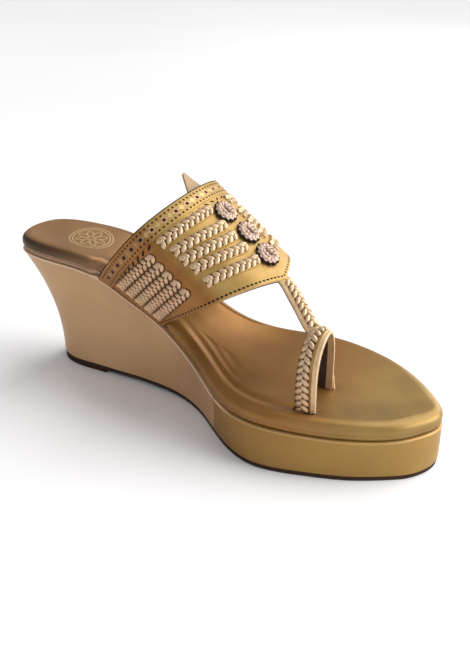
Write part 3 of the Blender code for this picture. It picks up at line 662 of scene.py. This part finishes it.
def make_rubber():
    """The outsole and the top piece under the heel, each with softened edges."""
    edge = inset_ring(SOLE_RING, OUTSOLE_INSET)
    face = inset_ring(SOLE_RING, OUTSOLE_INSET + RUBBER_ROUND)
    for name, low, high in (
            ("heel_lift", lambda x: 0, lambda x: HEEL_LIFT_THICKNESS),
            ("outsole", outsole_underside, lambda x: outsole_underside(x) + OUTSOLE_THICKNESS)):
        shape = Shape("rubber")
        rings = [
            lift_ring(face, low), lift_ring(edge, low, RUBBER_ROUND),
            lift_ring(edge, high, -RUBBER_ROUND), lift_ring(face, high)]
        shape.grid(rings, closed=True)
        cap(shape, rings[0], low)
        cap(shape, rings[-1], high)
        item = shape.piece(f"{name}_rubber", "rubber", name, weld=WELD)
        if name == "heel_lift":
            keep_side(item, HEEL_LIFT_LENGTH_X, keep_rear=True)


def wall_ring(share, drop=EDGE_HEIGHT, inset=0):
    """Ring of the wrapped wall, a share of the way up to a drop below its top."""
    bottom = inset_ring(SOLE_RING, PLATFORM_EDGE_INSET)
    low = np.array([wedge_bottom(x) for x, y in bottom])
    high = np.array([wedge_top(x) for x, y in LAST_RING])
    level = share * (high - drop - low) / (high - low)
    lean = (1 - level ** FLARE_POWER)[:, None]
    plan = inset_ring(LAST_RING * (1 - lean) + bottom * lean, inset)
    return np.column_stack([plan, low + (high - low) * level])


def make_wrap(name, slot, side):
    """The leather on the wedge or the platform, with the rolled bead round its top."""
    shape = Shape(f"{name}_leather", "bead_leather")
    walls = [wall_ring(share) for share in np.linspace(0, 1, WALL_LEVELS)]
    beads = [wall_ring(1, drop, inset) for inset, drop in EDGE_PROFILE]
    shape.grid(walls + beads[:1], closed=True)
    shape.grid(beads, "bead_leather", closed=True)
    cap(shape, walls[0], wedge_bottom)
    cap(shape, beads[-1], wedge_top, "bead_leather")
    item = shape.piece(f"{name}_wrap", slot, name, weld=WELD)
    keep_side(item, WRAP_SEAM_X + side * GAP / 2, keep_rear=side < 0)


def make_wrap_seam():
    """The folded edge of the heel's wrap, which laps over the platform's at each side."""
    shape = Shape("wedge_leather")
    station = int(np.argmin(abs(LAST_RING[:HALF_STATIONS, 0] - WRAP_SEAM_X)))
    for k in (station, len(LAST_RING) - station):
        rings = []
        for share in np.linspace(0.02, 1, 24):
            before, spot, after = wall_ring(share)[k - 1:k + 2]
            along = unit(after - before)
            out = np.cross(along, (0, 0, 1))
            centre = spot + along * (WRAP_SEAM_X - spot[0]) / along[0]
            rings.append([
                centre + along * SEAM_HALF_WIDTH * cos(a) + out * SEAM_HEIGHT * sin(a)
                for a in turns(8)])
        shape.tube(rings)
    shape.piece("wrap_seam", "wedge_leather")


def side_rings(profile, base, notch):
    """Rings of a profile round the last, drawn in where the band's feet go down."""
    near, far = NOTCH_RAMP
    rear, front, x = BAND_FOOT_REAR[-1][0], BAND_FOOT_FRONT[-1][0], LAST_RING[:, 0]
    room = smooth_step(rear - far, rear - near, x) * smooth_step(front + far, front + near, x)
    floor = np.array([base(station) for station in x])
    return [
        np.column_stack([inset_ring(LAST_RING, inset + room * notch), floor + height])
        for inset, height in profile]


def make_insole_board():
    """The board's wrapped side: a rolled rand at the heel, then the pad's own leather."""
    shape = Shape("footbed_leather", "rand_leather", "shadow_leather")
    at_heel = (1 - smooth_step(*RAND_END, LAST_RING[:, 0]))[:, None]
    rands, sides = (side_rings(side, underside, BOARD_NOTCH) for side in (RAND_SIDE, BOARD_SIDE))
    rings = [rand * at_heel + side * (1 - at_heel) for rand, side in zip(rands, sides)]
    shape.grid(rings, closed=True)
    rand = shape.materials.index("rand_leather")
    shape.slots = [
        rand if shape.points[corners[0]][0] < RAND_COLOUR_END else 0 for corners in shape.faces]
    # its top and bottom are near-black: painted shade in the gap between the pad and the platform
    cap(shape, rings[0], underside, "shadow_leather")
    cap(shape, rings[-1], lambda x: underside(x) + BOARD_SIDE[-1][1], "shadow_leather")
    shape.piece("insole_board_wrap", "footbed_leather", "insole_board", weld=WELD)


def make_footbed():
    """The padded sock: a rolled side and a dished top that sinks round the toe loop's legs."""
    shape = Shape("footbed_leather")
    sides = side_rings(PAD_SIDE, pad_base, PAD_NOTCH)
    crest = sides[-1][:, :2]
    core = (crest + np.roll(crest[::-1], 1, axis=0)) / 2
    core[:, 0] = MIDDLE_X + (core[:, 0] - MIDDLE_X) * PAD_CORE_SHRINK
    widths = np.linalg.norm(core - crest, axis=1)
    height = smooth_function(*zip(*PAD_TOP))
    tops = []
    for share in np.linspace(0, 1, PAD_TOP_RINGS)[1:-1] ** PAD_TOP_CROWDING:
        tops.append([
            (x, y, pad_base(x) + height(share) - dimple(x, y) - furrows(x, y, share * width))
            for (x, y), width in zip(crest + (core - crest) * share, widths)])
    rings = sides + tops
    shape.grid(rings, closed=True)
    cap(shape, rings[0], pad_base)
    cap(shape, rings[-1], lambda x: pad_base(x) + PAD_TOP[-1][1])
    item = shape.piece("footbed_pad", "footbed_leather", "footbed", weld=WELD)
    return item


def furrows(x, y, distance):
    """The creases that run inside the pad's medial edge, from the waist to the toe loop."""
    if y > 0:
        return 0
    return sum(
        depth * smooth_step(*rise, x) * (1 - smooth_step(*fall, x))
        * exp(-((distance - inside) / width) ** 2)
        for inside, width, depth, rise, fall in FURROWS)


def dimple(x, y):
    """How far the pad sinks beside the toe loop's legs."""
    depth, long, wide = DIMPLE
    return sum(
        depth * exp(-((x - cx) / long) ** 2 - ((y - cy) / wide) ** 2)
        for cx, cy in LOOP_LEGS)


# --- the instep band ---
class InstepBand:
    """The band's outer surface: straight rulings from an arched rear edge to the front."""

    TAIL = 8
    STEPS = 240
    NORMAL_STEP = 0.5
    FOOT_SEARCH = 46

    def __init__(self):
        feet = {side: np.array(BAND_FOOT_REAR[side]) for side in SIDES}
        self.ridge_line = np.array(BAND_TIP) - BAND_TOP_REAR
        self.foot_line = {side: BAND_FOOT_FRONT[side] - feet[side] for side in SIDES}
        arms = {side: self.arm(side, (feet[-1] + feet[1]) / 2, feet[1][1]) for side in SIDES}
        self.arm_length = {side: arms[side][2] for side in SIDES}
        self.girths = np.concatenate([-arms[-1][0][:0:-1], arms[1][0]])
        self.points = np.vstack([arms[-1][1][:0:-1], arms[1][1]])

    def arm(self, side, foot, foot_y):
        """Girths and points down one side of the rear edge, and the girth at its foot."""
        up = BAND_TOP_REAR - foot
        foot_half = foot_y - foot[1]
        angles = np.linspace(pi / 2, 0, self.STEPS)
        arch = ARCH_EQUATOR + (np.linalg.norm(up) - ARCH_EQUATOR) * np.sin(angles)
        leg = np.linspace(ARCH_EQUATOR, -self.TAIL, self.STEPS)[1:]
        taper = (1 - leg / ARCH_EQUATOR) ** 2
        halves = ARCH_REACH * np.cos(angles), ARCH_REACH + (foot_half - ARCH_REACH) * taper
        rises = np.append(arch, leg)
        points = foot + np.outer(rises, unit(up))
        points[:, 1] += side * np.concatenate(halves)
        girths = walk(points)
        return girths, points, float(np.interp(0, rises[::-1], girths[::-1]))

    def by_side(self, girth, values):
        return np.where(np.asarray(girth)[..., None] <= 0, values[-1], values[1])

    def foot_share(self, girth):
        return np.abs(girth) / self.by_side(girth, self.arm_length)[..., 0]

    def ruling(self, girth):
        share = (np.minimum(1, self.foot_share(girth)) ** FOOT_TWIST_POWER)[..., None]
        foot = unit(self.by_side(girth, self.foot_line))
        return unit(foot * share + unit(self.ridge_line) * (1 - share))

    def front(self, girth):
        """Reach of the band's front edge."""
        at_foot = np.linalg.norm(self.by_side(girth, self.foot_line), axis=-1)
        at_ridge = np.linalg.norm(self.ridge_line)
        share = np.maximum(0, 1 - self.foot_share(girth)) ** FRONT_EDGE_POWER
        return at_foot + (at_ridge - at_foot) * share

    def surface(self, girth, reach):
        edge = read_line(girth, self.girths, self.points)
        return edge + self.ruling(girth) * np.asarray(reach)[..., None]

    def point(self, girth, reach, height):
        girth, reach, height = np.broadcast_arrays(girth, reach, height)
        step = self.NORMAL_STEP
        across = self.surface(girth + step, reach) - self.surface(girth - step, reach)
        normal = unit(np.cross(self.ruling(girth), across))
        return self.surface(girth, reach) + normal * height[..., None]

    def foot(self, side, reach):
        """Girth at which a line along the band comes down to the insole board's underside."""
        low, high = self.FOOT_SEARCH, self.arm_length[side] + self.TAIL
        for _ in range(30):
            middle = (low + high) / 2
            x, y, z = self.surface(side * middle, reach)
            low, high = (middle, high) if z > underside(x) else (low, middle)
        return side * low


BAND = InstepBand()


def band_lines(girth):
    """(reach, height) of the fine lines that run along the band's outer face."""
    front = float(BAND.front(girth))
    lines = [(0, BORDER_STEP - 0.45), (0.25, BORDER_STEP - 0.1)]
    lines += [(reach, BORDER_STEP) for reach in np.linspace(0.7, BORDER_WIDTH - 0.9, 7)]
    lines += [(BORDER_WIDTH - 0.35, BORDER_STEP - 0.08), (BORDER_WIDTH, 0.05)]
    lines += [(BORDER_WIDTH + 0.3, 0)]
    lines += [(reach, 0) for reach in np.linspace(BORDER_WIDTH + 1, front - 0.7, 30)]
    return lines + [(front - 0.25, -0.08), (front, -0.4)]


def band_stations():
    """(girth, share of the way on to the foot) of the band's columns, from foot to foot."""
    half = [(girth, 0) for girth in np.linspace(0, BAND_LIMIT, 90)[1:]]
    half += [(BAND_LIMIT, share) for share in np.linspace(0, 1, FOOT_STATIONS + 1)[1:]]
    return [(-girth, -down) for girth, down in half[::-1]] + [(0, 0)] + half


def band_column(girth, down, lines):
    reaches, heights = zip(*lines)
    girths = [girth] * len(lines)
    if down:
        side = -1 if down < 0 else 1
        girths = [girth + (BAND.foot(side, reach) - girth) * abs(down) for reach in reaches]
    return BAND.point(girths, reaches, heights)


def add_wall(shape, outer, inner, cuts):
    """The split edges and the closed ends between a strap's outer face and its lining."""
    for edge, cut in zip((0, -1), cuts):
        split = outer[:, edge] * (1 - cut) + inner[:, edge] * cut
        shape.grid([outer[:, edge], split], "cut_edge")
        shape.grid([split, inner[:, edge]], "lining")
    for end in (0, -1):
        shape.polygon(np.vstack([outer[end], inner[end][::-1]]), "lining")


def add_band_leather(shape):
    outer, inner = [], []
    for girth, down in band_stations():
        lines = band_lines(girth)
        outer.append(band_column(girth, down, lines))
        front = lines[-1][0]
        back = [(front * share, -WALL) for share in np.linspace(0, 1, 14)]
        inner.append(band_column(girth, down, back))
    outer, inner = np.array(outer), np.array(inner)
    shape.grid(outer)
    shape.grid(inner, "lining")
    add_wall(shape, outer, inner, BAND_CUTS)


# --- plaits, rims and holes, each laid on a surface by its place(along, across, height) ---
def local_frame(place, along, across, step=0.2):
    """Origin and unit axes of a surface at a spot: along, across and out."""
    origin = place(along, across, 0)
    out = unit(place(along, across, 1) - origin)
    forward = place(along + step, across, 0) - place(along - step, across, 0)
    forward = unit(forward - out * (forward @ out))
    return origin, forward, np.cross(out, forward), out


def add_leaf(shape, frame, angle, length, width, height, base, tilt):
    """One strand's visible loop: a pointed pad, turned in its plane and tilted."""
    origin, forward, side, out = frame
    along = forward * cos(angle) + side * sin(angle)
    across = side * cos(angle) - forward * sin(angle)
    least, inner, outer = LEAF_POINT
    rings = []
    for share in np.linspace(-1, 1, LEAF_STATIONS):
        swell = max(least, (1 - abs(share) ** inner) ** outer)
        middle = origin + along * share * length / 2 + out * (base + tilt * share)
        ring = []
        for turn in turns(LEAF_SIDES):
            up = sin(turn) * (height if sin(turn) > 0 else LEAF_DEPTH)
            ring.append(middle + (across * cos(turn) * width / 2 + out * up) * swell)
        rings.append(ring)
    shape.tube(rings)


def add_plait(shape, place, length, width, pitch, fullness, mirrored=False):
    """A flat plait: two columns of slanted leaves that meet in a V down the middle."""
    count = max(2, int(round(length / pitch)))
    step, quarter = length / count, BRAID_HEIGHT * 0.25
    for k in range(-1, count):
        for side in SIDES if k >= 0 else SIDES[:1]:
            along = min(max(0.5, k + (0.5 if side > 0 else 1)), count - 0.5) * step
            frame = local_frame(place, along, side * width * PLAIT_SPREAD)
            turn = side * PLAIT_SLANT
            add_leaf(
                shape, frame, pi - turn if mirrored else turn, width * LEAF_LENGTH,
                step * fullness, quarter * 3, quarter, quarter)


def add_strip(shape, place, length, width, height, material="braid_painted_shade"):
    """A thin round-ended strip that lies on a surface, by default in the plaits' painted shade.
    """
    radius = width / 2
    rows = []
    for along in np.linspace(0, length, max(6, int(length / 1.5))):
        inset = max(0, radius - along, radius - (length - along))
        half = sqrt(radius ** 2 - inset ** 2)
        rows.append([place(along, across, height) for across in (half, 0, -half)])
    shape.grid(rows, material)


def add_rim(shape, place, length, width, radius, height, material):
    """A rolled rim that follows a round-ended strip on a surface."""
    end = width / 2
    pill = [
        (end * cos(turn) + (length - end if cos(turn) > 0 else end),
         end * sin(turn))
        for turn in turns(40)]
    pill = np.array(pill + pill[:1])
    walked = walk(pill)
    count = max(8, int(walked[-1] / RIM_SPACING))
    line = read_line(np.linspace(0, walked[-1], count, endpoint=False), walked, pill)
    ahead = np.roll(line, -1, axis=0) - np.roll(line, 1, axis=0)
    normals = unit(np.column_stack([ahead[:, 1], -ahead[:, 0]]))
    rings = [
        [place(*(spot + normal * radius * cos(turn)), height + radius * sin(turn))
         for turn in turns(6)]
        for spot, normal in zip(line, normals)]
    shape.grid(rings + rings[:1], material, closed=True)


def add_hole(shape, place, along, across, size, turn=0, corners=8, lift=1, material=None):
    """A punched mark: a small polygon that lies just over the leather."""
    origin, forward, side, out = local_frame(place, along, across)
    turned = complex(cos(turn), sin(turn))
    spots = [
        turned * complex(size[0] * cos(angle), size[1] * sin(angle))
        for angle in turns(corners)]
    shape.polygon(
        [origin + forward * spot.real + side * spot.imag + out * lift * HOLE_LIFT
         for spot in spots],
        material)


def add_band_plait(shape, side, row, outer, length, look):
    """A braid row that runs from its outer girth towards the ridge."""
    width, fullness, rim, rim_material = look

    def place(along, across, height):
        girth = outer - along
        middle = np.interp(abs(girth), BRAID_GIRTHS, BRAID_MIDDLES[row])
        return BAND.point(side * girth, middle + across, height)

    # a dark strip of painted shade under the plait
    add_strip(shape, place, length, width + 0.3, 0.12)
    add_rim(shape, place, length, width + 0.5, rim, 0.15, rim_material)
    add_plait(shape, place, length, width, PLAIT_PITCH, fullness)


def make_band_braids():
    shape = Shape("braid_leather", "braid_painted_shade", "gold_leather")
    for side in SIDES:
        for row, outer in enumerate(INSTEP_ENDS):
            add_band_plait(shape, side, row, SIDE_END, SIDE_LENGTH, SIDE_PLAIT)
            add_band_plait(shape, side, row, outer, outer - RIDGE_ENDS[side], INSTEP_PLAIT)
    shape.piece("band_braids", "braid_leather", sharp=60)


def make_perforations():
    """The rear border's punched pattern and the stitch holes along the front edge."""
    shape = Shape("shadow_leather", "foil", "tooled_leather")

    def front(along, across, height):
        return BAND.point(along, BAND.front(along) - across, height)

    for where, last, pitch, shift, reach, step, size, turn, *look in PUNCHES:
        for girth in np.arange(-last, last + 0.1, pitch):
            if where in ("all", "instep" if abs(girth) < PLAIN_GIRTH else "side"):
                add_hole(
                    shape, lambda *spot: BAND.point(*spot[:2], spot[2] + step * BORDER_STEP),
                    girth + shift, reach, size, turn if girth > 0 else -turn, *look)
    last, reaches, lift = REAR_SHADOW
    line = np.linspace(-last, last, 90)
    shape.grid([BAND.point(line, reach, BORDER_STEP + lift) for reach in reaches])
    # stitch holes, near-black: painted shade inside them
    last, pitch, inside, size = STITCHES
    for girth in np.arange(-last, last + 0.1, pitch):
        add_hole(shape, front, girth, inside, size)
    shape.piece("perforations", "gold_leather")


# --- centre strap and toe loop ---
class Ribbon:
    """A strap's outer face along a path of middles with a width and a direction across."""

    def __init__(self, middles, across, widths):
        self.middles, self.across, self.widths = middles, unit(across), widths
        self.walked = walk(middles)
        self.length = float(self.walked[-1])
        ahead = np.vstack([middles[1:], middles[-1:]]) - np.vstack([middles[:1], middles[:-1]])
        self.out = unit(np.cross(self.across, unit(ahead)))

    def width(self, along):
        return float(np.interp(along, self.walked, self.widths))

    def place(self, along, across, height):
        middle, sideways, out = (
            read_line(along, self.walked, line) for line in (self.middles, self.across, self.out))
        return middle + sideways * across + out * height

    def add_leather(self, shape, lip, fold):
        """The strap's leather, with a bevelled cut edge and the outer leather turned in."""
        outer, inner = [], []
        for along in self.walked:
            half = self.width(along) / 2
            flat = [(offset, 0) for offset in np.linspace(-half + 0.5, half - lip, 6)]
            profile = [(-half, -0.35), (-half + 0.15, -0.1)] + flat + [
                (half - lip + 0.15, -0.15), (half - 0.2, -0.55), (half, -0.8)]
            outer.append([self.place(along, *spot) for spot in profile])
            inner.append([self.place(along, at, -WALL) for at in (-half, half - fold, half)])
        outer, inner = np.array(outer), np.array(inner)
        shape.grid(outer[:, :8])
        shape.grid(outer[:, 7:], "cut_edge")
        shape.grid(inner[:, :2], "lining")
        shape.grid(inner[:, 1:], "folded_lining")
        add_wall(shape, outer, inner, STRAP_CUTS)


def centre_strap():
    rows = smooth_rows(STRAP_PATH, 36)
    return Ribbon(rows[:, :3], -rows[:, 3:], np.full(len(rows), STRAP_WIDTH))


def toe_loop():
    rows = smooth_rows(LOOP_EDGES, 90)
    rear, front = rows[:, :3], rows[:, 3:]
    return Ribbon((rear + front) / 2, front - rear, np.linalg.norm(front - rear, axis=1))


def make_straps(shape, braids):
    strap, loop = centre_strap(), toe_loop()
    strap.add_leather(shape, *STRAP_LIP)
    loop.add_leather(shape, *LOOP_LIP)

    length, parting, power = SPLIT_LAYER
    layers = []
    for share in np.linspace(0, 1, 9):
        along = loop.length - length * (1 - share)
        edge = loop.width(along) / 2 - 0.8 + parting * share ** power
        corners = ((0, -0.9), (0.9, -0.9), (0.9, 0.3), (0, 0.3))
        layers.append([loop.place(along, edge + offset, height) for offset, height in corners])
    shape.tube(layers, "cut_edge")

    start, strap_shift, strap_pitch, end = STRAP_PLAIT
    loop_width, loop_shift = LOOP_PLAIT

    def on_strap(along, across, height):
        return strap.place(start + along, across + strap_shift, height)

    def on_loop(along, across, height):
        return loop.place(along, across + loop_shift * loop.width(along), height)

    for place, length, width, shade_margin, pitch, mirrored in (
            (on_strap, strap.length - start - end, STRAP_BRAID_WIDTH, 0.2, strap_pitch, True),
            (on_loop, loop.length, loop_width, 0.5, PLAIT_PITCH, False)):
        # a dark strip of painted shade under each plait
        add_strip(braids, place, length, width + shade_margin, 0.1)
        add_plait(braids, place, length, width, pitch, INSTEP_PLAIT[1], mirrored)


def make_upper():
    leather = Shape("gold_leather", "cut_edge", "lining", "folded_lining")
    braids = Shape("braid_leather", "braid_painted_shade")
    add_band_leather(leather)
    make_straps(leather, braids)
    leather.piece("upper_leather", "gold_leather", "upper", weld=WELD)
    braids.piece("strap_plaits", "braid_leather", sharp=60)
    make_band_braids()
    make_perforations()


# --- rosettes and ear tab ---
def make_rosette(name, girth, reach):
    """A knotted cord, coiled round a slit on a scalloped dark backing whose near-black rim also
    paints the shade under the rosette's edge.
    """
    shape = Shape("rosette_leather", "shadow_leather")
    radius, count, outer_length, outer_slant = ROSETTE_RING
    spacing, offset, inner_length, inner_slant = ROSETTE_CORE
    long, wide, height = ROSETTE_SLIT

    def flat(along, across, height):
        return BAND.point(girth + across, reach + along, GAP + ROSETTE_TOP + height)

    def polar(distance, turn, height):
        return flat(distance * cos(turn), distance * sin(turn), height)

    def coil(along, across, height):
        return polar(radius + across, along / radius, height)

    def scalloped(share, height, depth):
        scallops, corners = ROSETTE_SCALLOPS
        return [
            polar(
                ROSETTE_RADIUS * share * (1 - depth * (0.5 + 0.5 * cos(scallops * turn))),
                turn, height)
            for turn in turns(corners)]

    shape.tube([scalloped(*row) for row in ROSETTE_BACKING], "shadow_leather")
    shape.tube([scalloped(*row) for row in ROSETTE_DISC])
    pitch = 2 * pi * radius / count
    knots = [(coil, pitch * k, 0, outer_slant, outer_length, pitch * 1.02, 0.25)
             for k in range(count)]
    knots += [(flat, along, side * offset, side * inner_slant, inner_length, spacing * 0.9, 0.3)
              for side in SIDES for along in (-spacing, 0, spacing)]
    for place, along, across, slant, size, width, base in knots:
        frame = local_frame(place, along, across)
        add_leaf(shape, frame, slant, size, width, KNOT[0], base, KNOT[1])
    # the slit: a near-black strip of painted shadow
    add_strip(
        shape, lambda along, across, height: flat(along - long / 2, across, height),
        long, wide, height, "shadow_leather")
    shape.piece(f"rosette_{name}_plait", "braid_leather", f"rosette_{name}", sharp=60)


def make_ear_tab():
    shape = Shape("ear_leather", "rand_leather")
    table = np.array(EAR_SECTIONS)
    section = smooth_function(table[:, 0], table[:, 1:])
    rows = []
    for reach in np.linspace(table[0, 0], table[-1, 0], 32):
        half, lift, middle = section(reach)
        girths = np.linspace(-1, 1, 11) * max(0.3, half) + middle
        top = lift - WALL - GAP
        rows.append([BAND.point(girths, reach, height) for height in (top, top - EAR_THICKNESS)])
    rows = np.array(rows)
    for face in (0, 1):
        shape.grid(rows[:, face])
    for edge in (0, -1):
        shape.grid(rows[:, :, edge], "rand_leather")
        shape.grid(rows[edge], "rand_leather")
    shape.piece("ear_tab_leather", "gold_leather", "ear_tab", weld=WELD)


# --- small marks ---
def drop_on(item):
    """The height of a piece's top, as a place function over the plan."""
    mesh = item.data
    tree = BVHTree.FromPolygons(
        [vertex.co for vertex in mesh.vertices], [list(face.vertices) for face in mesh.polygons])

    def place(x, y, lift):
        start = Vector(((x - ORIGIN[0]) * METRES, (y - ORIGIN[1]) * METRES, 1))
        hit = tree.ray_cast(start, Vector((0, 0, -1)))[0]
        return np.array(hit) / METRES + ORIGIN + np.array((0, 0, lift))
    return place


def make_stamp(pad):
    """A plain eight-petal flower in two rings, stamped on the heel."""
    shape = Shape("stamp_foil")
    place = drop_on(pad)
    middle, long, wide = STAMP_PETAL
    width, lift = STAMP_LINE
    around = [np.linspace(0, 2 * pi, count) for count in (64, 20)]
    petal = middle - long * np.cos(around[1]) + 1j * wide * np.sin(around[1])
    lines = [radius * np.exp(1j * around[0]) for radius in STAMP_RINGS]
    lines += [petal * np.exp(1j * turn) for turn in turns(8)]
    for line in lines:
        line = line + complex(*STAMP_CENTRE)
        ahead = np.append(line[1:], line[-1]) - np.append(line[0], line[:-1])
        aside = 0.5j * width * ahead / abs(ahead)
        shape.grid([
            [place(spot.real, spot.imag, lift) for spot in row]
            for row in zip(line - aside, line + aside)])
    shape.piece("heel_stamp", "footbed_leather")


def make_slots(pad):
    """Near-black patches of painted shadow in the pad's slots, which the toe loop's legs go down
    through.
    """
    shape = Shape("shadow_leather")
    place = drop_on(pad)
    for (cx, cy), (half_x, half_y) in zip(LOOP_LEGS, LOOP_SLOTS):
        shape.grid([
            [place(cx + half_x * share * cos(a), cy + half_y * share * sin(a), SLOT_LIFT)
             for a in turns(32)]
            for share in np.linspace(0, 1, 6)], closed=True)
    shape.piece("loop_slots", "rubber")


# --- stage and camera ---
def make_floor():
    bpy.ops.mesh.primitive_plane_add(size=12, location=(0, 0, 0))
    floor = bpy.context.object
    floor.name = "floor"
    nodes = Nodes("floor")
    dark, light, blotch, roughness = FLOOR
    colour = nodes.blend(nodes.noise(blotch), dark, light)
    nodes.fill(nodes.shader, {"Base Color": colour, "Roughness": roughness})
    floor.data.materials.append(nodes.material)


LIGHTS = (
    # name, kind, position m, aim m, size m (for the sun, degrees), strength, colour
    ("sun", "SUN", (0.48, 0.70, 1.05), (0, 0, 0), 62, 2.45, (1, 0.985, 0.96)),
    ("front_right", "AREA", (0.6, -1.1, 0.7), (0, 0, 0.04), 1.2, 3, (1, 0.98, 0.96)),
    ("right", "AREA", (1.1, 0.3, 0.4), (0, 0, 0.04), 0.8, 11, (1, 0.99, 0.97)),
    ("back", "AREA", (0.3, 1.3, 0.36), (0.05, 0, 0.04), 0.7, 4, (1, 0.99, 0.97)),
)
WORLD = ((0.96, 0.97, 1, 1), 0.45)


def make_lights():
    for name, kind, position, aim, size, strength, colour in LIGHTS:
        lamp = bpy.data.lights.new(name, kind)
        lamp.energy, lamp.color = strength, colour
        if kind == "SUN":
            lamp.angle = radians(size)
        else:
            lamp.shape, lamp.size = "DISK", size
        item = add_object(name, lamp)
        item.location = position
        item.rotation_mode = "QUATERNION"
        item.rotation_quaternion = (Vector(aim) - Vector(position)).to_track_quat("-Z", "Y")
    world = bpy.data.worlds.new("studio")
    world.use_nodes = True
    background = world.node_tree.nodes["Background"]
    background.inputs["Color"].default_value, background.inputs["Strength"].default_value = WORLD
    bpy.context.scene.world = world


CAMERA_POSITION = (0.19763, -0.33202, 0.24976)
CAMERA_AXES = (
    # right, up and back
    (0.8655317, 0.5006855, 0.0130002),
    (-0.2459476, 0.4022705, 0.8818663),
    (0.436308, -0.7664806, 0.4713202),
)
LENS = 46


def make_camera():
    lens = bpy.data.cameras.new("camera")
    lens.sensor_width = 36
    lens.lens = LENS
    lens.clip_start, lens.clip_end = 0.01, 50
    camera = add_object("camera", lens)
    axes = Matrix(CAMERA_AXES).transposed().to_4x4()
    camera.matrix_world = Matrix.Translation(CAMERA_POSITION) @ axes
    bpy.context.scene.camera = camera


def main():
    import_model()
    bpy.context.scene.view_settings.view_transform = "Standard"
    make_camera()
    make_rubber()
    make_wrap("wedge", "wedge_leather", -1)
    make_wrap("platform", "gold_leather", 1)
    make_wrap_seam()
    make_insole_board()
    pad = make_footbed()
    make_upper()
    for name, (girth, reach) in ROSETTES.items():
        make_rosette(name, girth, reach)
    make_ear_tab()
    make_stamp(pad)
    make_slots(pad)
    make_floor()
    make_lights()


main()
